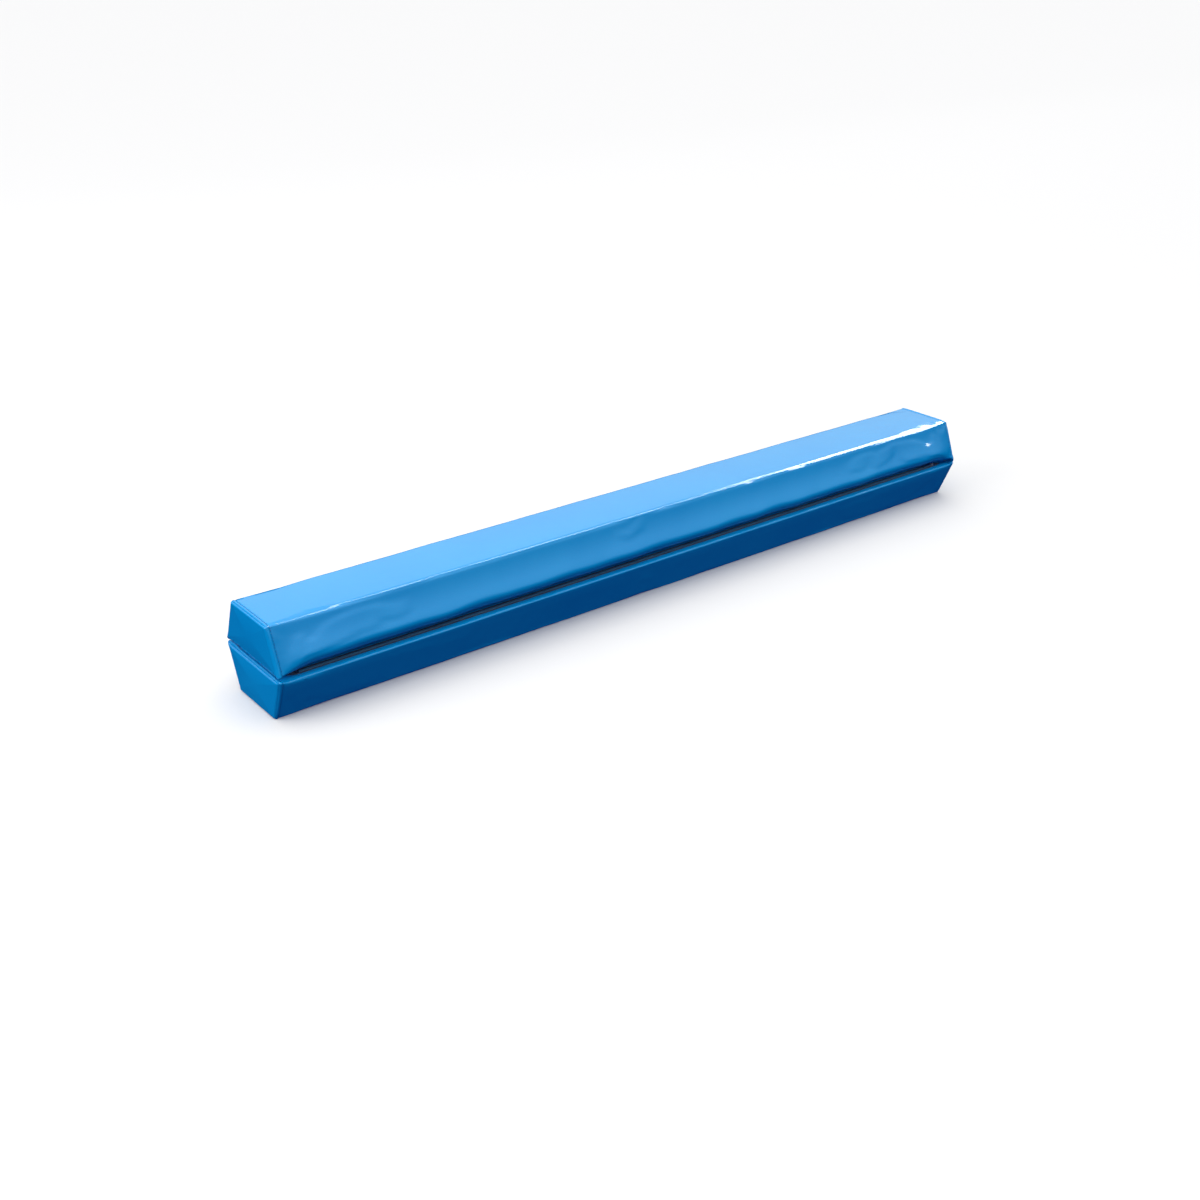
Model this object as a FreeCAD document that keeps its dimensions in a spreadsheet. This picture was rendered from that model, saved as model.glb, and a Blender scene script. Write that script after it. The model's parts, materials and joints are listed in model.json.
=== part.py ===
"""A folding foam balance beam for the floor, shown folded: two equal trapezoid sections, base to base.

Millimetres. X runs along the beam, from the open end (-X) to the hinge end (+X). Z is up.
The origin is on the floor, under the middle of the folded beam.

The lower section stands on its narrow tread face. The upper section is the same section turned
half a turn about the line Y = 0, Z = half of the folded height, so its tread face is on top.
Each section is a two-layer foam core in a sewn vinyl cover with a zip along one base edge.
"""

import FreeCAD, Part

import math
import os

import Sketcher
from FreeCAD import Placement, Rotation, Vector

SIZES = {
    "section_length": 1372.0,
    "tread_width": 102.0,
    "base_width": 152.0,
    "section_height": 63.5,
    "base_crown": 4.8,
    "fold_gap": 11.0,
    "tread_edge_radius": 6.0,
    "base_edge_radius": 4.0,
    "cover_thickness": 1.0,
    "tread_plank_height": 25.4,
    # the zip runs along one base edge, in a slot between the turned-in wrap and the base panel
    "zip_inset": 16.0,
    "zip_slot_width": 12.0,
    "back_turn_in": 4.0,
    "tape_thickness": 0.6,
    "tape_width": 10.7,
    "tape_end_margin": 2.0,
    "tape_split": 0.6,
    "coil_length": 1300.0,
    "coil_radius": 1.25,
    "coil_split": 0.2,
    "stop_length": 2.5,
    "stop_width": 5.6,
    "stop_height": 1.5,
    # zip slider: a wing that straddles both coils, a bail on top, and a flat pull that swings on it
    "slider_length": 12.0,
    "slider_width": 8.6,
    "slider_tail_width": 7.2,
    "slider_nose_width": 6.8,
    "slider_lift": 0.3,
    "slider_top": 2.7,
    "channel_width": 5.6,
    "channel_top": 1.6,
    "slider_stop_gap": 0.5,
    "bail_length": 5.6,
    "bail_width": 2.0,
    "bail_top": 4.9,
    "bail_eye_length": 3.2,
    "bail_eye_top": 4.2,
    "pull_length": 24.0,
    "pull_width": 6.0,
    "pull_thickness": 1.0,
    "pull_lift": 3.0,
    "pull_window_length": 4.0,
    "pull_window_width": 2.8,
    "pull_bar_radius": 0.6,
    # the strip of cover fabric that joins the two sections at the hinge end
    "strip_width": 146.0,
    "strip_thickness": 1.0,
    "strip_bulge": 2.5,
    "strip_clearance": 0.3,
    "strip_overlap": 1.0,
}

CROWN_RADIUS = "((sizes.base_width / 2)^2 + sizes.base_crown^2) / (2 * sizes.base_crown)"
CROWN_CENTRE = f"sizes.section_height + sizes.base_crown - {CROWN_RADIUS}"
SIDE_SLOPE = "(sizes.base_width - sizes.tread_width) / (2 * sizes.section_height)"
FOLDED_HEIGHT = "2 * sizes.section_height + sizes.fold_gap"
ZIP_Y = "sizes.zip_inset - sizes.base_width / 2"

V_AXIS = -2
START = 1
END = 2
CENTRE = 3

doc = FreeCAD.newDocument("folding_floor_beam")


# ---------------------------------------------------------------- helpers

def make_sheet():
    """Puts the driving sizes in a spreadsheet, one aliased cell each."""
    sheet = doc.addObject("Spreadsheet::Sheet", "sizes")
    for row, (alias, value) in enumerate(SIZES.items(), start=1):
        sheet.set(f"A{row}", alias)
        sheet.set(f"B{row}", str(value))
        sheet.setAlias(f"B{row}", alias)
    doc.recompute()
    return sheet


sizes = make_sheet()


def new_body(label):
    body = doc.addObject("PartDesign::Body", label)
    body.Label = label
    return body


def new_sketch(body, name, plane):
    """A sketch on one of the body's own origin planes."""
    sketch = body.newObject("Sketcher::SketchObject", f"{body.Name}_{name}")
    base_plane = next(item for item in body.Origin.OriginFeatures if item.Role == plane)
    sketch.AttachmentSupport = (base_plane, "")
    sketch.MapMode = "FlatFace"
    return sketch


def constrain(sketch, kind, *where, size=None, guess=None):
    """Adds a constraint. A size is an expression, and guess is the value to start from."""
    if size is None:
        return sketch.addConstraint(Sketcher.Constraint(kind, *where))
    index = sketch.addConstraint(Sketcher.Constraint(kind, *where, guess))
    sketch.setExpression(f"Constraints[{index}]", size)
    return index


def place_point(sketch, line, end, across, up):
    """Binds one end of a line to a point whose two coordinates are expressions."""
    point = sketch.getPoint(line, end)
    constrain(sketch, "DistanceX", line, end, size=across, guess=point.x)
    constrain(sketch, "DistanceY", line, end, size=up, guess=point.y)


def value_of(expression):
    """The present value of an expression in the sheet's sizes."""
    result = sizes.evalExpression(expression)
    return float(getattr(result, "Value", result))


def draw_outline(sketch, corners):
    """Draws a closed outline of straight lines through corners given as expression pairs."""
    points = [Vector(value_of(across), value_of(up), 0) for across, up in corners]
    lines = [
        sketch.addGeometry(Part.LineSegment(point, points[(index + 1) % len(points)]))
        for index, point in enumerate(points)
    ]
    for index, line in enumerate(lines):
        following = lines[(index + 1) % len(lines)]
        constrain(sketch, "Coincident", line, END, following, START)
    for line, (across, up) in zip(lines, corners):
        place_point(sketch, line, START, across, up)


def draw_rectangle(sketch, across, up):
    """Draws a rectangle between two expressions in each direction."""
    draw_outline(
        sketch,
        [(across[0], up[0]), (across[1], up[0]), (across[1], up[1]), (across[0], up[1])],
    )


def lift(sketch, height):
    """Raises a sketch above its plane."""
    sketch.setExpression("AttachmentOffset.Base.z", height)


def pad(body, sketch, length, symmetric=True):
    feature = body.newObject("PartDesign::Pad", f"{sketch.Name}_pad")
    feature.Profile = sketch
    feature.SideType = "Symmetric" if symmetric else "One side"
    feature.setExpression("Length", length)
    sketch.Visibility = False
    doc.recompute()
    return feature


def pocket_through(body, sketch):
    """Cuts a sketch right through both ways, and makes sure that it took something away."""
    before = body.Shape.Volume
    feature = body.newObject("PartDesign::Pocket", f"{sketch.Name}_pocket")
    feature.Profile = sketch
    feature.Type = "ThroughAll"
    feature.Midplane = True
    doc.recompute()
    if body.Shape.Volume >= before - 1e-6:
        raise RuntimeError(f"{sketch.Name} cut nothing")
    return feature


def round_edges(body, base, wanted, radius):
    """Fillets the edges of base that wanted() picks out."""
    names = [
        f"Edge{index}"
        for index, edge in enumerate(base.Shape.Edges, start=1)
        if wanted(edge)
    ]
    feature = body.newObject("PartDesign::Fillet", f"{base.Name}_rounded")
    feature.Base = (base, names)
    feature.setExpression("Radius", radius)
    doc.recompute()
    return feature


def box(label, along, across, up):
    """A Part::Box between two expressions on each axis."""
    block = doc.addObject("Part::Box", label)
    for name, (low, high) in zip(("Length", "Width", "Height"), (along, across, up)):
        block.setExpression(name, f"({high}) - ({low})")
    for name, (low, _) in zip("xyz", (along, across, up)):
        block.setExpression(f"Placement.Base.{name}", low)
    return block


def common(label, base, tool):
    """The part of base that lies inside tool."""
    feature = doc.addObject("Part::Common", label)
    feature.Base = base
    feature.Tool = tool
    return feature


def cut(label, base, tool):
    """What is left of base when tool is taken away."""
    feature = doc.addObject("Part::Cut", label)
    feature.Base = base
    feature.Tool = tool
    return feature


# ---------------------------------------------------------------- the section's nested outlines

def make_block(label, inset):
    """A solid trapezoid bar with a crowned base, inset all round from the outside of the cover."""
    half_tread = (
        f"sizes.tread_width / 2 + {SIDE_SLOPE} * ({inset}) - ({inset}) * sqrt(1 + ({SIDE_SLOPE})^2)"
    )
    body = new_body(label)
    sketch = new_sketch(body, "section", "YZ_Plane")
    tread = value_of(half_tread)
    floor = value_of(inset)
    base = value_of("sizes.base_width / 2")
    edge = value_of("sizes.section_height")
    centre = Vector(0, value_of(CROWN_CENTRE), 0)
    radius = value_of(f"{CROWN_RADIUS} - ({inset})")
    reach = math.asin(base / radius)
    crown_curve = Part.Circle(centre, Vector(0, 0, 1), radius)
    bottom = sketch.addGeometry(Part.LineSegment(Vector(-tread, floor, 0), Vector(tread, floor, 0)))
    right = sketch.addGeometry(Part.LineSegment(Vector(tread, floor, 0), Vector(base, edge, 0)))
    crown = sketch.addGeometry(
        Part.ArcOfCircle(crown_curve, math.pi / 2 - reach, math.pi / 2 + reach)
    )
    left = sketch.addGeometry(Part.LineSegment(Vector(-base, edge, 0), Vector(-tread, floor, 0)))
    constrain(sketch, "Coincident", bottom, END, right, START)
    constrain(sketch, "Coincident", right, END, crown, START)
    constrain(sketch, "Coincident", crown, END, left, START)
    constrain(sketch, "Coincident", left, END, bottom, START)
    place_point(sketch, bottom, START, f"-({half_tread})", inset)
    place_point(sketch, bottom, END, half_tread, inset)
    constrain(sketch, "Horizontal", right, END, left, START)
    side_angle = math.atan(1 / value_of(SIDE_SLOPE))
    constrain(sketch, "Angle", right, size=f"atan(1 / ({SIDE_SLOPE}))", guess=side_angle)
    constrain(sketch, "PointOnObject", crown, CENTRE, V_AXIS)
    constrain(sketch, "DistanceY", crown, CENTRE, size=CROWN_CENTRE, guess=centre.y)
    constrain(sketch, "Radius", crown, size=f"{CROWN_RADIUS} - ({inset})", guess=radius)
    bar = pad(body, sketch, f"sizes.section_length - 2 * ({inset})")
    long_enough = 0.9 * SIZES["section_length"]

    def tread_edge(edge):
        return edge.Length > long_enough and edge.CenterOfMass.z < SIZES["section_height"] / 2

    def base_edge(edge):
        return edge.Length > long_enough and edge.CenterOfMass.z > SIZES["section_height"] / 2

    rounded = round_edges(body, bar, tread_edge, f"sizes.tread_edge_radius - ({inset})")
    round_edges(body, rounded, base_edge, f"sizes.base_edge_radius - ({inset})")
    return body


COVER = "sizes.cover_thickness"
OUTER_END = "sizes.section_length / 2"
COVER_END = f"{OUTER_END} - {COVER}"
TAPE_END = f"{OUTER_END} - sizes.tape_end_margin"
FAR = "sizes.base_width"
BELOW = "-10"
ABOVE = "sizes.section_height + 2 * sizes.base_crown"
SLOT_EDGE = f"{ZIP_Y} - sizes.zip_slot_width / 2"
SLOT_INNER = f"{ZIP_Y} + sizes.zip_slot_width / 2"
BACK_SEAM = "sizes.base_width / 2 - sizes.back_turn_in"
BASE_LEVEL = "sizes.section_height - 2 * sizes.cover_thickness"

outside = make_block("cover_outside", "0")
inside = make_block("cover_inside", COVER)
tape_inside = make_block("tape_inside", f"{COVER} + sizes.tape_thickness")
cover_shell = cut("cover_shell", outside, inside)
tape_shell = cut("tape_shell", inside, tape_inside)

ALL_ACROSS = (f"-({FAR})", FAR)
ALL_UP = (BELOW, ABOVE)

wrap_zone = box("wrap_zone", (f"-({COVER_END})", COVER_END), ALL_ACROSS, ALL_UP)
base_opening = box(
    "base_opening", (f"-({OUTER_END})", OUTER_END), (SLOT_EDGE, BACK_SEAM), (BASE_LEVEL, ABOVE)
)
base_zone = box(
    "base_zone", (f"-({COVER_END})", COVER_END), (SLOT_INNER, BACK_SEAM), (BASE_LEVEL, ABOVE)
)
open_end_zone = box("open_end_zone", (f"-({OUTER_END})", f"-({COVER_END})"), ALL_ACROSS, ALL_UP)
hinge_end_zone = box("hinge_end_zone", (COVER_END, OUTER_END), ALL_ACROSS, ALL_UP)
tread_plank_zone = box(
    "tread_plank_zone",
    (f"-({OUTER_END})", OUTER_END),
    ALL_ACROSS,
    (BELOW, "sizes.tread_plank_height"),
)
wrap_sleeve = common("wrap_sleeve", cover_shell, wrap_zone)

TAPE_SPAN = (f"-({TAPE_END})", TAPE_END)
EDGE_TAPE_ACROSS = (
    f"{ZIP_Y} - sizes.tape_split / 2 - sizes.tape_width",
    f"{ZIP_Y} - sizes.tape_split / 2",
)
INNER_TAPE_ACROSS = (
    f"{ZIP_Y} + sizes.tape_split / 2",
    f"{ZIP_Y} + sizes.tape_split / 2 + sizes.tape_width",
)
edge_tape_zone = box("edge_tape_zone", TAPE_SPAN, EDGE_TAPE_ACROSS, (BASE_LEVEL, ABOVE))
inner_tape_zone = box("inner_tape_zone", TAPE_SPAN, INNER_TAPE_ACROSS, (BASE_LEVEL, ABOVE))
tape_groove_zone = box(
    "tape_groove_zone", TAPE_SPAN, (EDGE_TAPE_ACROSS[0], INNER_TAPE_ACROSS[1]), (BASE_LEVEL, ABOVE)
)
tape_groove = common("tape_groove", tape_shell, tape_groove_zone)


# ---------------------------------------------------------------- pieces of one section

def make_cover(section):
    """Wrap, end panels and base panel: the sewn vinyl skin of one section."""
    return [
        cut(f"{section}_wrap_panel", wrap_sleeve, base_opening),
        common(f"{section}_open_end_panel", outside, open_end_zone),
        common(f"{section}_hinge_end_panel", outside, hinge_end_zone),
        common(f"{section}_base_panel", cover_shell, base_zone),
    ]


def make_core(section):
    """Two laminated foam planks. The base plank has a shallow groove that takes the zip tapes."""
    base_layer = cut(f"{section}_base_layer", inside, tread_plank_zone)
    return [
        common(f"{section}_tread_foam_plank", inside, tread_plank_zone),
        cut(f"{section}_base_foam_plank", base_layer, tape_groove),
    ]


def make_tapes(section):
    """The two woven tapes of the zip, one sewn under the wrap and one under the base panel."""
    return [
        common(f"{section}_zip_edge_tape", tape_shell, edge_tape_zone),
        common(f"{section}_zip_inner_tape", tape_shell, inner_tape_zone),
    ]


def make_coil(label, side):
    """One row of nylon coil: a half-round cord standing on its tape, right beside the split."""
    body = new_body(label)
    sketch = new_sketch(body, "section", "YZ_Plane")
    middle = f"{side} * (sizes.coil_radius + sizes.coil_split / 2)"
    centre = Vector(value_of(middle), 0, 0)
    radius = SIZES["coil_radius"]
    arc = sketch.addGeometry(
        Part.ArcOfCircle(Part.Circle(centre, Vector(0, 0, 1), radius), 0, math.pi)
    )
    foot = sketch.addGeometry(
        Part.LineSegment(centre - Vector(radius, 0, 0), centre + Vector(radius, 0, 0))
    )
    constrain(sketch, "Coincident", arc, END, foot, START)
    constrain(sketch, "Coincident", foot, END, arc, START)
    place_point(sketch, arc, CENTRE, middle, "0")
    constrain(sketch, "Radius", arc, size="sizes.coil_radius", guess=radius)
    constrain(sketch, "Horizontal", foot)
    pad(body, sketch, "sizes.coil_length")
    return body


def make_stop(label, start):
    """A crimped stop across both coils, where they end."""
    body = new_body(label)
    side_view = new_sketch(body, "side_view", "XZ_Plane")
    draw_rectangle(side_view, (start, f"{start} + sizes.stop_length"), ("0", "sizes.stop_height"))
    pad(body, side_view, "sizes.stop_width")
    return body


SLIDER_X = "sizes.coil_length / 2 - sizes.slider_length / 2 - sizes.slider_stop_gap"
SLIDER_TAIL = f"{SLIDER_X} - sizes.slider_length / 2"
SLIDER_NOSE = f"{SLIDER_X} + sizes.slider_length / 2"
PULL_AXIS_UP = "sizes.pull_lift + sizes.pull_thickness / 2"


def make_slider(label):
    """The slider: a tapered wing over both coils with a channel below and a bail above."""
    body = new_body(label)
    plan = new_sketch(body, "plan", "XY_Plane")
    half_tail = "sizes.slider_tail_width / 2"
    half_middle = "sizes.slider_width / 2"
    half_nose = "sizes.slider_nose_width / 2"
    draw_outline(
        plan,
        [
            (SLIDER_TAIL, f"-{half_tail}"),
            (SLIDER_X, f"-{half_middle}"),
            (SLIDER_NOSE, f"-{half_nose}"),
            (SLIDER_NOSE, half_nose),
            (SLIDER_X, half_middle),
            (SLIDER_TAIL, half_tail),
        ],
    )
    lift(plan, "sizes.slider_lift")
    pad(body, plan, "sizes.slider_top - sizes.slider_lift", symmetric=False)
    channel = new_sketch(body, "channel", "YZ_Plane")
    half_channel = "sizes.channel_width / 2"
    draw_rectangle(channel, (f"-{half_channel}", half_channel), ("-1", "sizes.channel_top"))
    pocket_through(body, channel)
    bail = new_sketch(body, "bail", "XZ_Plane")
    bail_ends = (f"{SLIDER_X} - sizes.bail_length / 2", f"{SLIDER_X} + sizes.bail_length / 2")
    draw_rectangle(bail, bail_ends, ("sizes.slider_top", "sizes.bail_top"))
    pad(body, bail, "sizes.bail_width")
    eye = new_sketch(body, "eye", "XZ_Plane")
    eye_ends = (
        f"{SLIDER_X} - sizes.bail_eye_length / 2",
        f"{SLIDER_X} + sizes.bail_eye_length / 2",
    )
    draw_rectangle(eye, eye_ends, ("sizes.slider_top", "sizes.bail_eye_top"))
    pocket_through(body, eye)
    return body


def make_pull(label):
    """The flat pull: two arms either side of the bail, joined through its eye by a round bar."""
    body = new_body(label)
    plate = new_sketch(body, "plate", "XY_Plane")
    half = "sizes.pull_width / 2"
    draw_rectangle(plate, (f"{SLIDER_X} - sizes.pull_length", SLIDER_X), (f"-{half}", half))
    lift(plate, "sizes.pull_lift")
    pad(body, plate, "sizes.pull_thickness", symmetric=False)
    window = new_sketch(body, "window", "XY_Plane")
    half_window = "sizes.pull_window_width / 2"
    window_ends = (f"{SLIDER_X} - sizes.pull_window_length", f"{SLIDER_X} + sizes.pull_thickness")
    draw_rectangle(window, window_ends, (f"-{half_window}", half_window))
    pocket_through(body, window)
    bar = new_sketch(body, "bar", "XZ_Plane")
    bar_middle = Vector(value_of(SLIDER_X), value_of(PULL_AXIS_UP), 0)
    radius = SIZES["pull_bar_radius"]
    circle = bar.addGeometry(Part.Circle(bar_middle, Vector(0, 0, 1), radius))
    place_point(bar, circle, CENTRE, SLIDER_X, PULL_AXIS_UP)
    constrain(bar, "Radius", circle, size="sizes.pull_bar_radius", guess=radius)
    pad(body, bar, "sizes.pull_width")
    return body


def make_zip_hardware(section):
    """Coils, stops, slider and pull, made flat about the zip's own centre line."""
    return [
        make_coil(f"{section}_zip_edge_coil", -1),
        make_coil(f"{section}_zip_inner_coil", 1),
        make_stop(f"{section}_zip_hinge_end_stop", "sizes.coil_length / 2"),
        make_stop(f"{section}_zip_open_end_stop", "-sizes.coil_length / 2 - sizes.stop_length"),
        make_slider(f"{section}_zip_slider"),
        make_pull(f"{section}_zip_pull"),
    ]


def zip_frame():
    """Where the zip lies on the crowned base: its line on the tapes, tilted to their slope."""
    tilt = math.asin(value_of(ZIP_Y) / value_of(CROWN_RADIUS))
    tape_radius = value_of(f"{CROWN_RADIUS} - {COVER}")
    across = tape_radius * math.sin(tilt)
    up = value_of(CROWN_CENTRE) + tape_radius * math.cos(tilt)
    return Placement(Vector(0, across, up), Rotation(Vector(1, 0, 0), -math.degrees(tilt)))


def make_hinge_strip(label):
    """The strip of cover fabric across the fold, bulging out a little between the two seams."""
    body = new_body(label)
    sketch = new_sketch(body, "section", "XZ_Plane")
    height = value_of(f"sizes.fold_gap + 2 * sizes.strip_overlap")
    bulge = SIZES["strip_bulge"]
    thickness = SIZES["strip_thickness"]
    start_x = value_of(f"{OUTER_END} + sizes.strip_clearance")
    middle_z = value_of(f"({FOLDED_HEIGHT}) / 2")
    radius = (height**2 / 4 + bulge**2) / (2 * bulge)
    reach = math.asin(height / 2 / radius)
    centre = Vector(start_x + bulge - radius, middle_z, 0)
    turn = Vector(0, 0, 1)
    inner = sketch.addGeometry(
        Part.ArcOfCircle(Part.Circle(centre, turn, radius), -reach, reach)
    )
    outer = sketch.addGeometry(
        Part.ArcOfCircle(Part.Circle(centre, turn, radius + thickness), -reach, reach)
    )
    ends = [
        sketch.addGeometry(Part.LineSegment(sketch.getPoint(inner, end), sketch.getPoint(outer, end)))
        for end in (START, END)
    ]
    for end, line in zip((START, END), ends):
        constrain(sketch, "Coincident", inner, end, line, START)
        constrain(sketch, "Coincident", outer, end, line, END)
    constrain(sketch, "Coincident", inner, CENTRE, outer, CENTRE)
    half_height = "(sizes.fold_gap / 2 + sizes.strip_overlap)"
    root_x = f"{OUTER_END} + sizes.strip_clearance"
    place_point(sketch, inner, START, root_x, f"({FOLDED_HEIGHT}) / 2 - {half_height}")
    place_point(sketch, inner, END, root_x, f"({FOLDED_HEIGHT}) / 2 + {half_height}")
    strip_radius = f"({half_height}^2 + sizes.strip_bulge^2) / (2 * sizes.strip_bulge)"
    constrain(sketch, "Radius", inner, size=strip_radius, guess=radius)
    outer_radius = f"{strip_radius} + sizes.strip_thickness"
    constrain(sketch, "Radius", outer, size=outer_radius, guess=radius + thickness)
    for line in ends:
        constrain(sketch, "PointOnObject", inner, CENTRE, line)
    pad(body, sketch, "sizes.strip_width")
    return body


# ---------------------------------------------------------------- assembly and export

LOWER_PLACE = Placement()
UPPER_PLACE = Placement(Vector(0, 0, value_of(FOLDED_HEIGHT)), Rotation(Vector(1, 0, 0), 180))
PULL_AXIS_POINT = Vector(value_of(SLIDER_X), 0, value_of(PULL_AXIS_UP))

nodes = []
for section, place in (("lower", LOWER_PLACE), ("upper", UPPER_PLACE)):
    section_pieces = make_cover(section) + make_core(section) + make_tapes(section)
    for piece in section_pieces:
        piece.Placement = place
    zip_pieces = make_zip_hardware(section)
    for piece in zip_pieces:
        piece.Placement = place * zip_frame() * piece.Placement
    nodes += section_pieces + zip_pieces
    zip_place = place * zip_frame()
    pull_axis = zip_place.Rotation.multVec(Vector(0, 1, 0))
    print(f"{section} pull turns at {zip_place.multVec(PULL_AXIS_POINT)} about {pull_axis}")
nodes.append(make_hinge_strip("hinge_strip"))
doc.recompute()

for item in doc.Objects:
    faults = [state for state in item.State if state in ("Invalid", "Error")]
    if faults:
        raise RuntimeError(f"{item.Label} is {faults}")

os.makedirs("parts", exist_ok=True)
for node in nodes:
    shape = node.Shape
    if shape.isNull() or not shape.isValid() or len(shape.Solids) != 1:
        raise RuntimeError(f"{node.Label} has no sound solid")
    shape.exportStep(f"parts/{node.Label}.step")
    bounds = shape.BoundBox
    print(f"{node.Label}: {shape.Volume / 1000:.2f} cm3, z {bounds.ZMin:.2f} to {bounds.ZMax:.2f}")
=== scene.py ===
# %% [markdown]
# # A folding foam balance beam, from its frame to its stitches
#
# The real object is a low beam of firm foam that folds in half. Each half is a trapezoid bar in a
# cover of glossy coated fabric. Folded for storage, the two wide bases lie on each other, so one
# narrow tread face is on the floor and the other is on top.
#
# The frame holds every size, place and joint. This lesson dresses it: a soft skin for each cover
# panel, seams and thread, a coil zip, foam, and materials. Everything is in metres.

import json
import math
import random

import bpy
import numpy as np
from mathutils import Matrix, Vector

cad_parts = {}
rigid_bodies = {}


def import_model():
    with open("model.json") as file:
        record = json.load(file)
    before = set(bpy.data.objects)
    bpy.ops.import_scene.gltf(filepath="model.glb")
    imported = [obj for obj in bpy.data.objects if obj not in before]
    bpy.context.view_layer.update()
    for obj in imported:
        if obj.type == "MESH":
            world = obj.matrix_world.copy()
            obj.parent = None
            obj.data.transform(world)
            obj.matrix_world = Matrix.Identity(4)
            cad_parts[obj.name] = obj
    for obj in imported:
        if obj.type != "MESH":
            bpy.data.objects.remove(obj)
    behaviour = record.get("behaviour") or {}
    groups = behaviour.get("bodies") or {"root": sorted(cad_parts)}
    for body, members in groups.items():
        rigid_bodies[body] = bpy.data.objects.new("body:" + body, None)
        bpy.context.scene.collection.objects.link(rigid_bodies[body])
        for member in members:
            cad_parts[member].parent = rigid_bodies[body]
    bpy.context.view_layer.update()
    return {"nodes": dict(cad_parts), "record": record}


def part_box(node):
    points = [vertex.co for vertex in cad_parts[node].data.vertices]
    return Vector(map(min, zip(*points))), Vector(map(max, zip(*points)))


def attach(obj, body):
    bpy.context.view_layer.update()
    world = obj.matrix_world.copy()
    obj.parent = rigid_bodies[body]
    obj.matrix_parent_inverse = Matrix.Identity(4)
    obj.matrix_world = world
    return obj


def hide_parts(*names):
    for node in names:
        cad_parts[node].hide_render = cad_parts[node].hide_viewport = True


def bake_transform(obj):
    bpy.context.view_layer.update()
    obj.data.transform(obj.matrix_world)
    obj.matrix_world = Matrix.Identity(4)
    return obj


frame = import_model()

# %% Sizes that the cover is cut to
MM = 0.001
joints = {joint["name"]: joint for joint in frame["record"]["behaviour"]["joints"]}
FOLD_Z = joints["fold"]["pos_m"][2]
HALF_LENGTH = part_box("lower_hinge_end_panel")[1].x
CROWN_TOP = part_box("lower_base_panel")[1].z
TREAD_HALF = 51 * MM
BASE_HALF = 76 * MM
EDGE_HEIGHT = 63.5 * MM
CLOTH = 0.8 * MM
SIDE_LEAN = math.atan((BASE_HALF - TREAD_HALF) / EDGE_HEIGHT)
CROWN = CROWN_TOP - EDGE_HEIGHT
print(f"side panels lean {math.degrees(SIDE_LEAN):.1f} degrees, base crown {CROWN / MM:.1f} mm")

# %% [markdown]
# ## Camera
#
# The camera stands a little under a metre up, off the beam's open end, and looks along the beam and
# down at it. It is made first, so that each step can be looked at. The angles turn a plain
# direction into a rotation: heading round the vertical, then pitch down, then a slight roll.

# %% Place the camera
CAMERA_PLACE = Vector((-1.3795, -1.5990, 0.975))
CAMERA_HEADING = math.radians(51.08)
CAMERA_PITCH = math.radians(25.78)
CAMERA_ROLL = 0.0101
LENS_MM = 42.68


def look(heading, pitch, roll):
    """A camera rotation. Heading is measured from +X towards +Y, and pitch is downwards."""
    level = Vector((math.cos(heading), math.sin(heading), 0))
    forward = level * math.cos(pitch) - Vector((0, 0, math.sin(pitch)))
    side = forward.cross(Vector((0, 0, 1))).normalized()
    up = side.cross(forward)
    right = side * math.cos(roll) + up * math.sin(roll)
    top = up * math.cos(roll) - side * math.sin(roll)
    return Matrix((right, top, -forward)).transposed().to_4x4()


camera_data = bpy.data.cameras.new("camera")
camera = bpy.data.objects.new("camera", camera_data)
bpy.context.scene.collection.objects.link(camera)
camera.matrix_world = Matrix.Translation(CAMERA_PLACE) @ look(
    CAMERA_HEADING, CAMERA_PITCH, CAMERA_ROLL
)
camera_data.lens = LENS_MM
camera_data.sensor_width = 36
bpy.context.scene.camera = camera
print("camera at", tuple(round(value, 3) for value in CAMERA_PLACE))

# %% [markdown]
# ## Materials
#
# Coated fabric is a woven cloth under a smooth, shiny layer of vinyl. Three things give it away: a
# clear gloss, a faint print of the threads under the gloss, and a surface that is never quite even.
# Each material is a principled shader with noise for the unevenness, so that nothing depends on an
# unwrapped picture. Numbers that hold all over a surface go straight on the shader.

# %% A small kit for node materials
def new_material(name, **fixed):
    """A principled material with these values set on the shader's own sockets."""
    material = bpy.data.materials.new(name)
    material.use_nodes = True
    shader = material.node_tree.nodes["Principled BSDF"]
    for socket, value in fixed.items():
        shader.inputs[socket.replace("_", " ")].default_value = value
    return material, material.node_tree, shader


def add_node(tree, kind, **inputs):
    """A new node. An input is a value, or another node's output to link."""
    node = tree.nodes.new(kind)
    for name, value in inputs.items():
        socket = node.inputs[name.replace("_", " ")]
        if isinstance(value, bpy.types.NodeSocket):
            tree.links.new(value, socket)
        else:
            socket.default_value = value
    return node


def place_output(tree, stretch=(1, 1, 1)):
    """The point on the piece, in metres, stretched along its axes."""
    coordinates = tree.nodes.new("ShaderNodeTexCoord")
    mapping = add_node(tree, "ShaderNodeMapping", Vector=coordinates.outputs["Object"])
    mapping.inputs["Scale"].default_value = stretch
    return mapping.outputs["Vector"]


def noise(tree, place, scale, detail=2.0, roughness=0.5):
    """Soft random patches. A scale of 100 gives patches about a centimetre wide."""
    node = add_node(
        tree, "ShaderNodeTexNoise", Vector=place, Scale=scale, Detail=detail, Roughness=roughness
    )
    return node.outputs["Fac"]


def map_range(tree, value, low, high, to_low, to_high):
    """Stretches value from low..high to to_low..to_high."""
    node = add_node(tree, "ShaderNodeMapRange", Value=value)
    for name, number in zip(("From Min", "From Max", "To Min", "To Max"), (low, high, to_low, to_high)):
        node.inputs[name].default_value = number
    return node.outputs["Result"]


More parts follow.
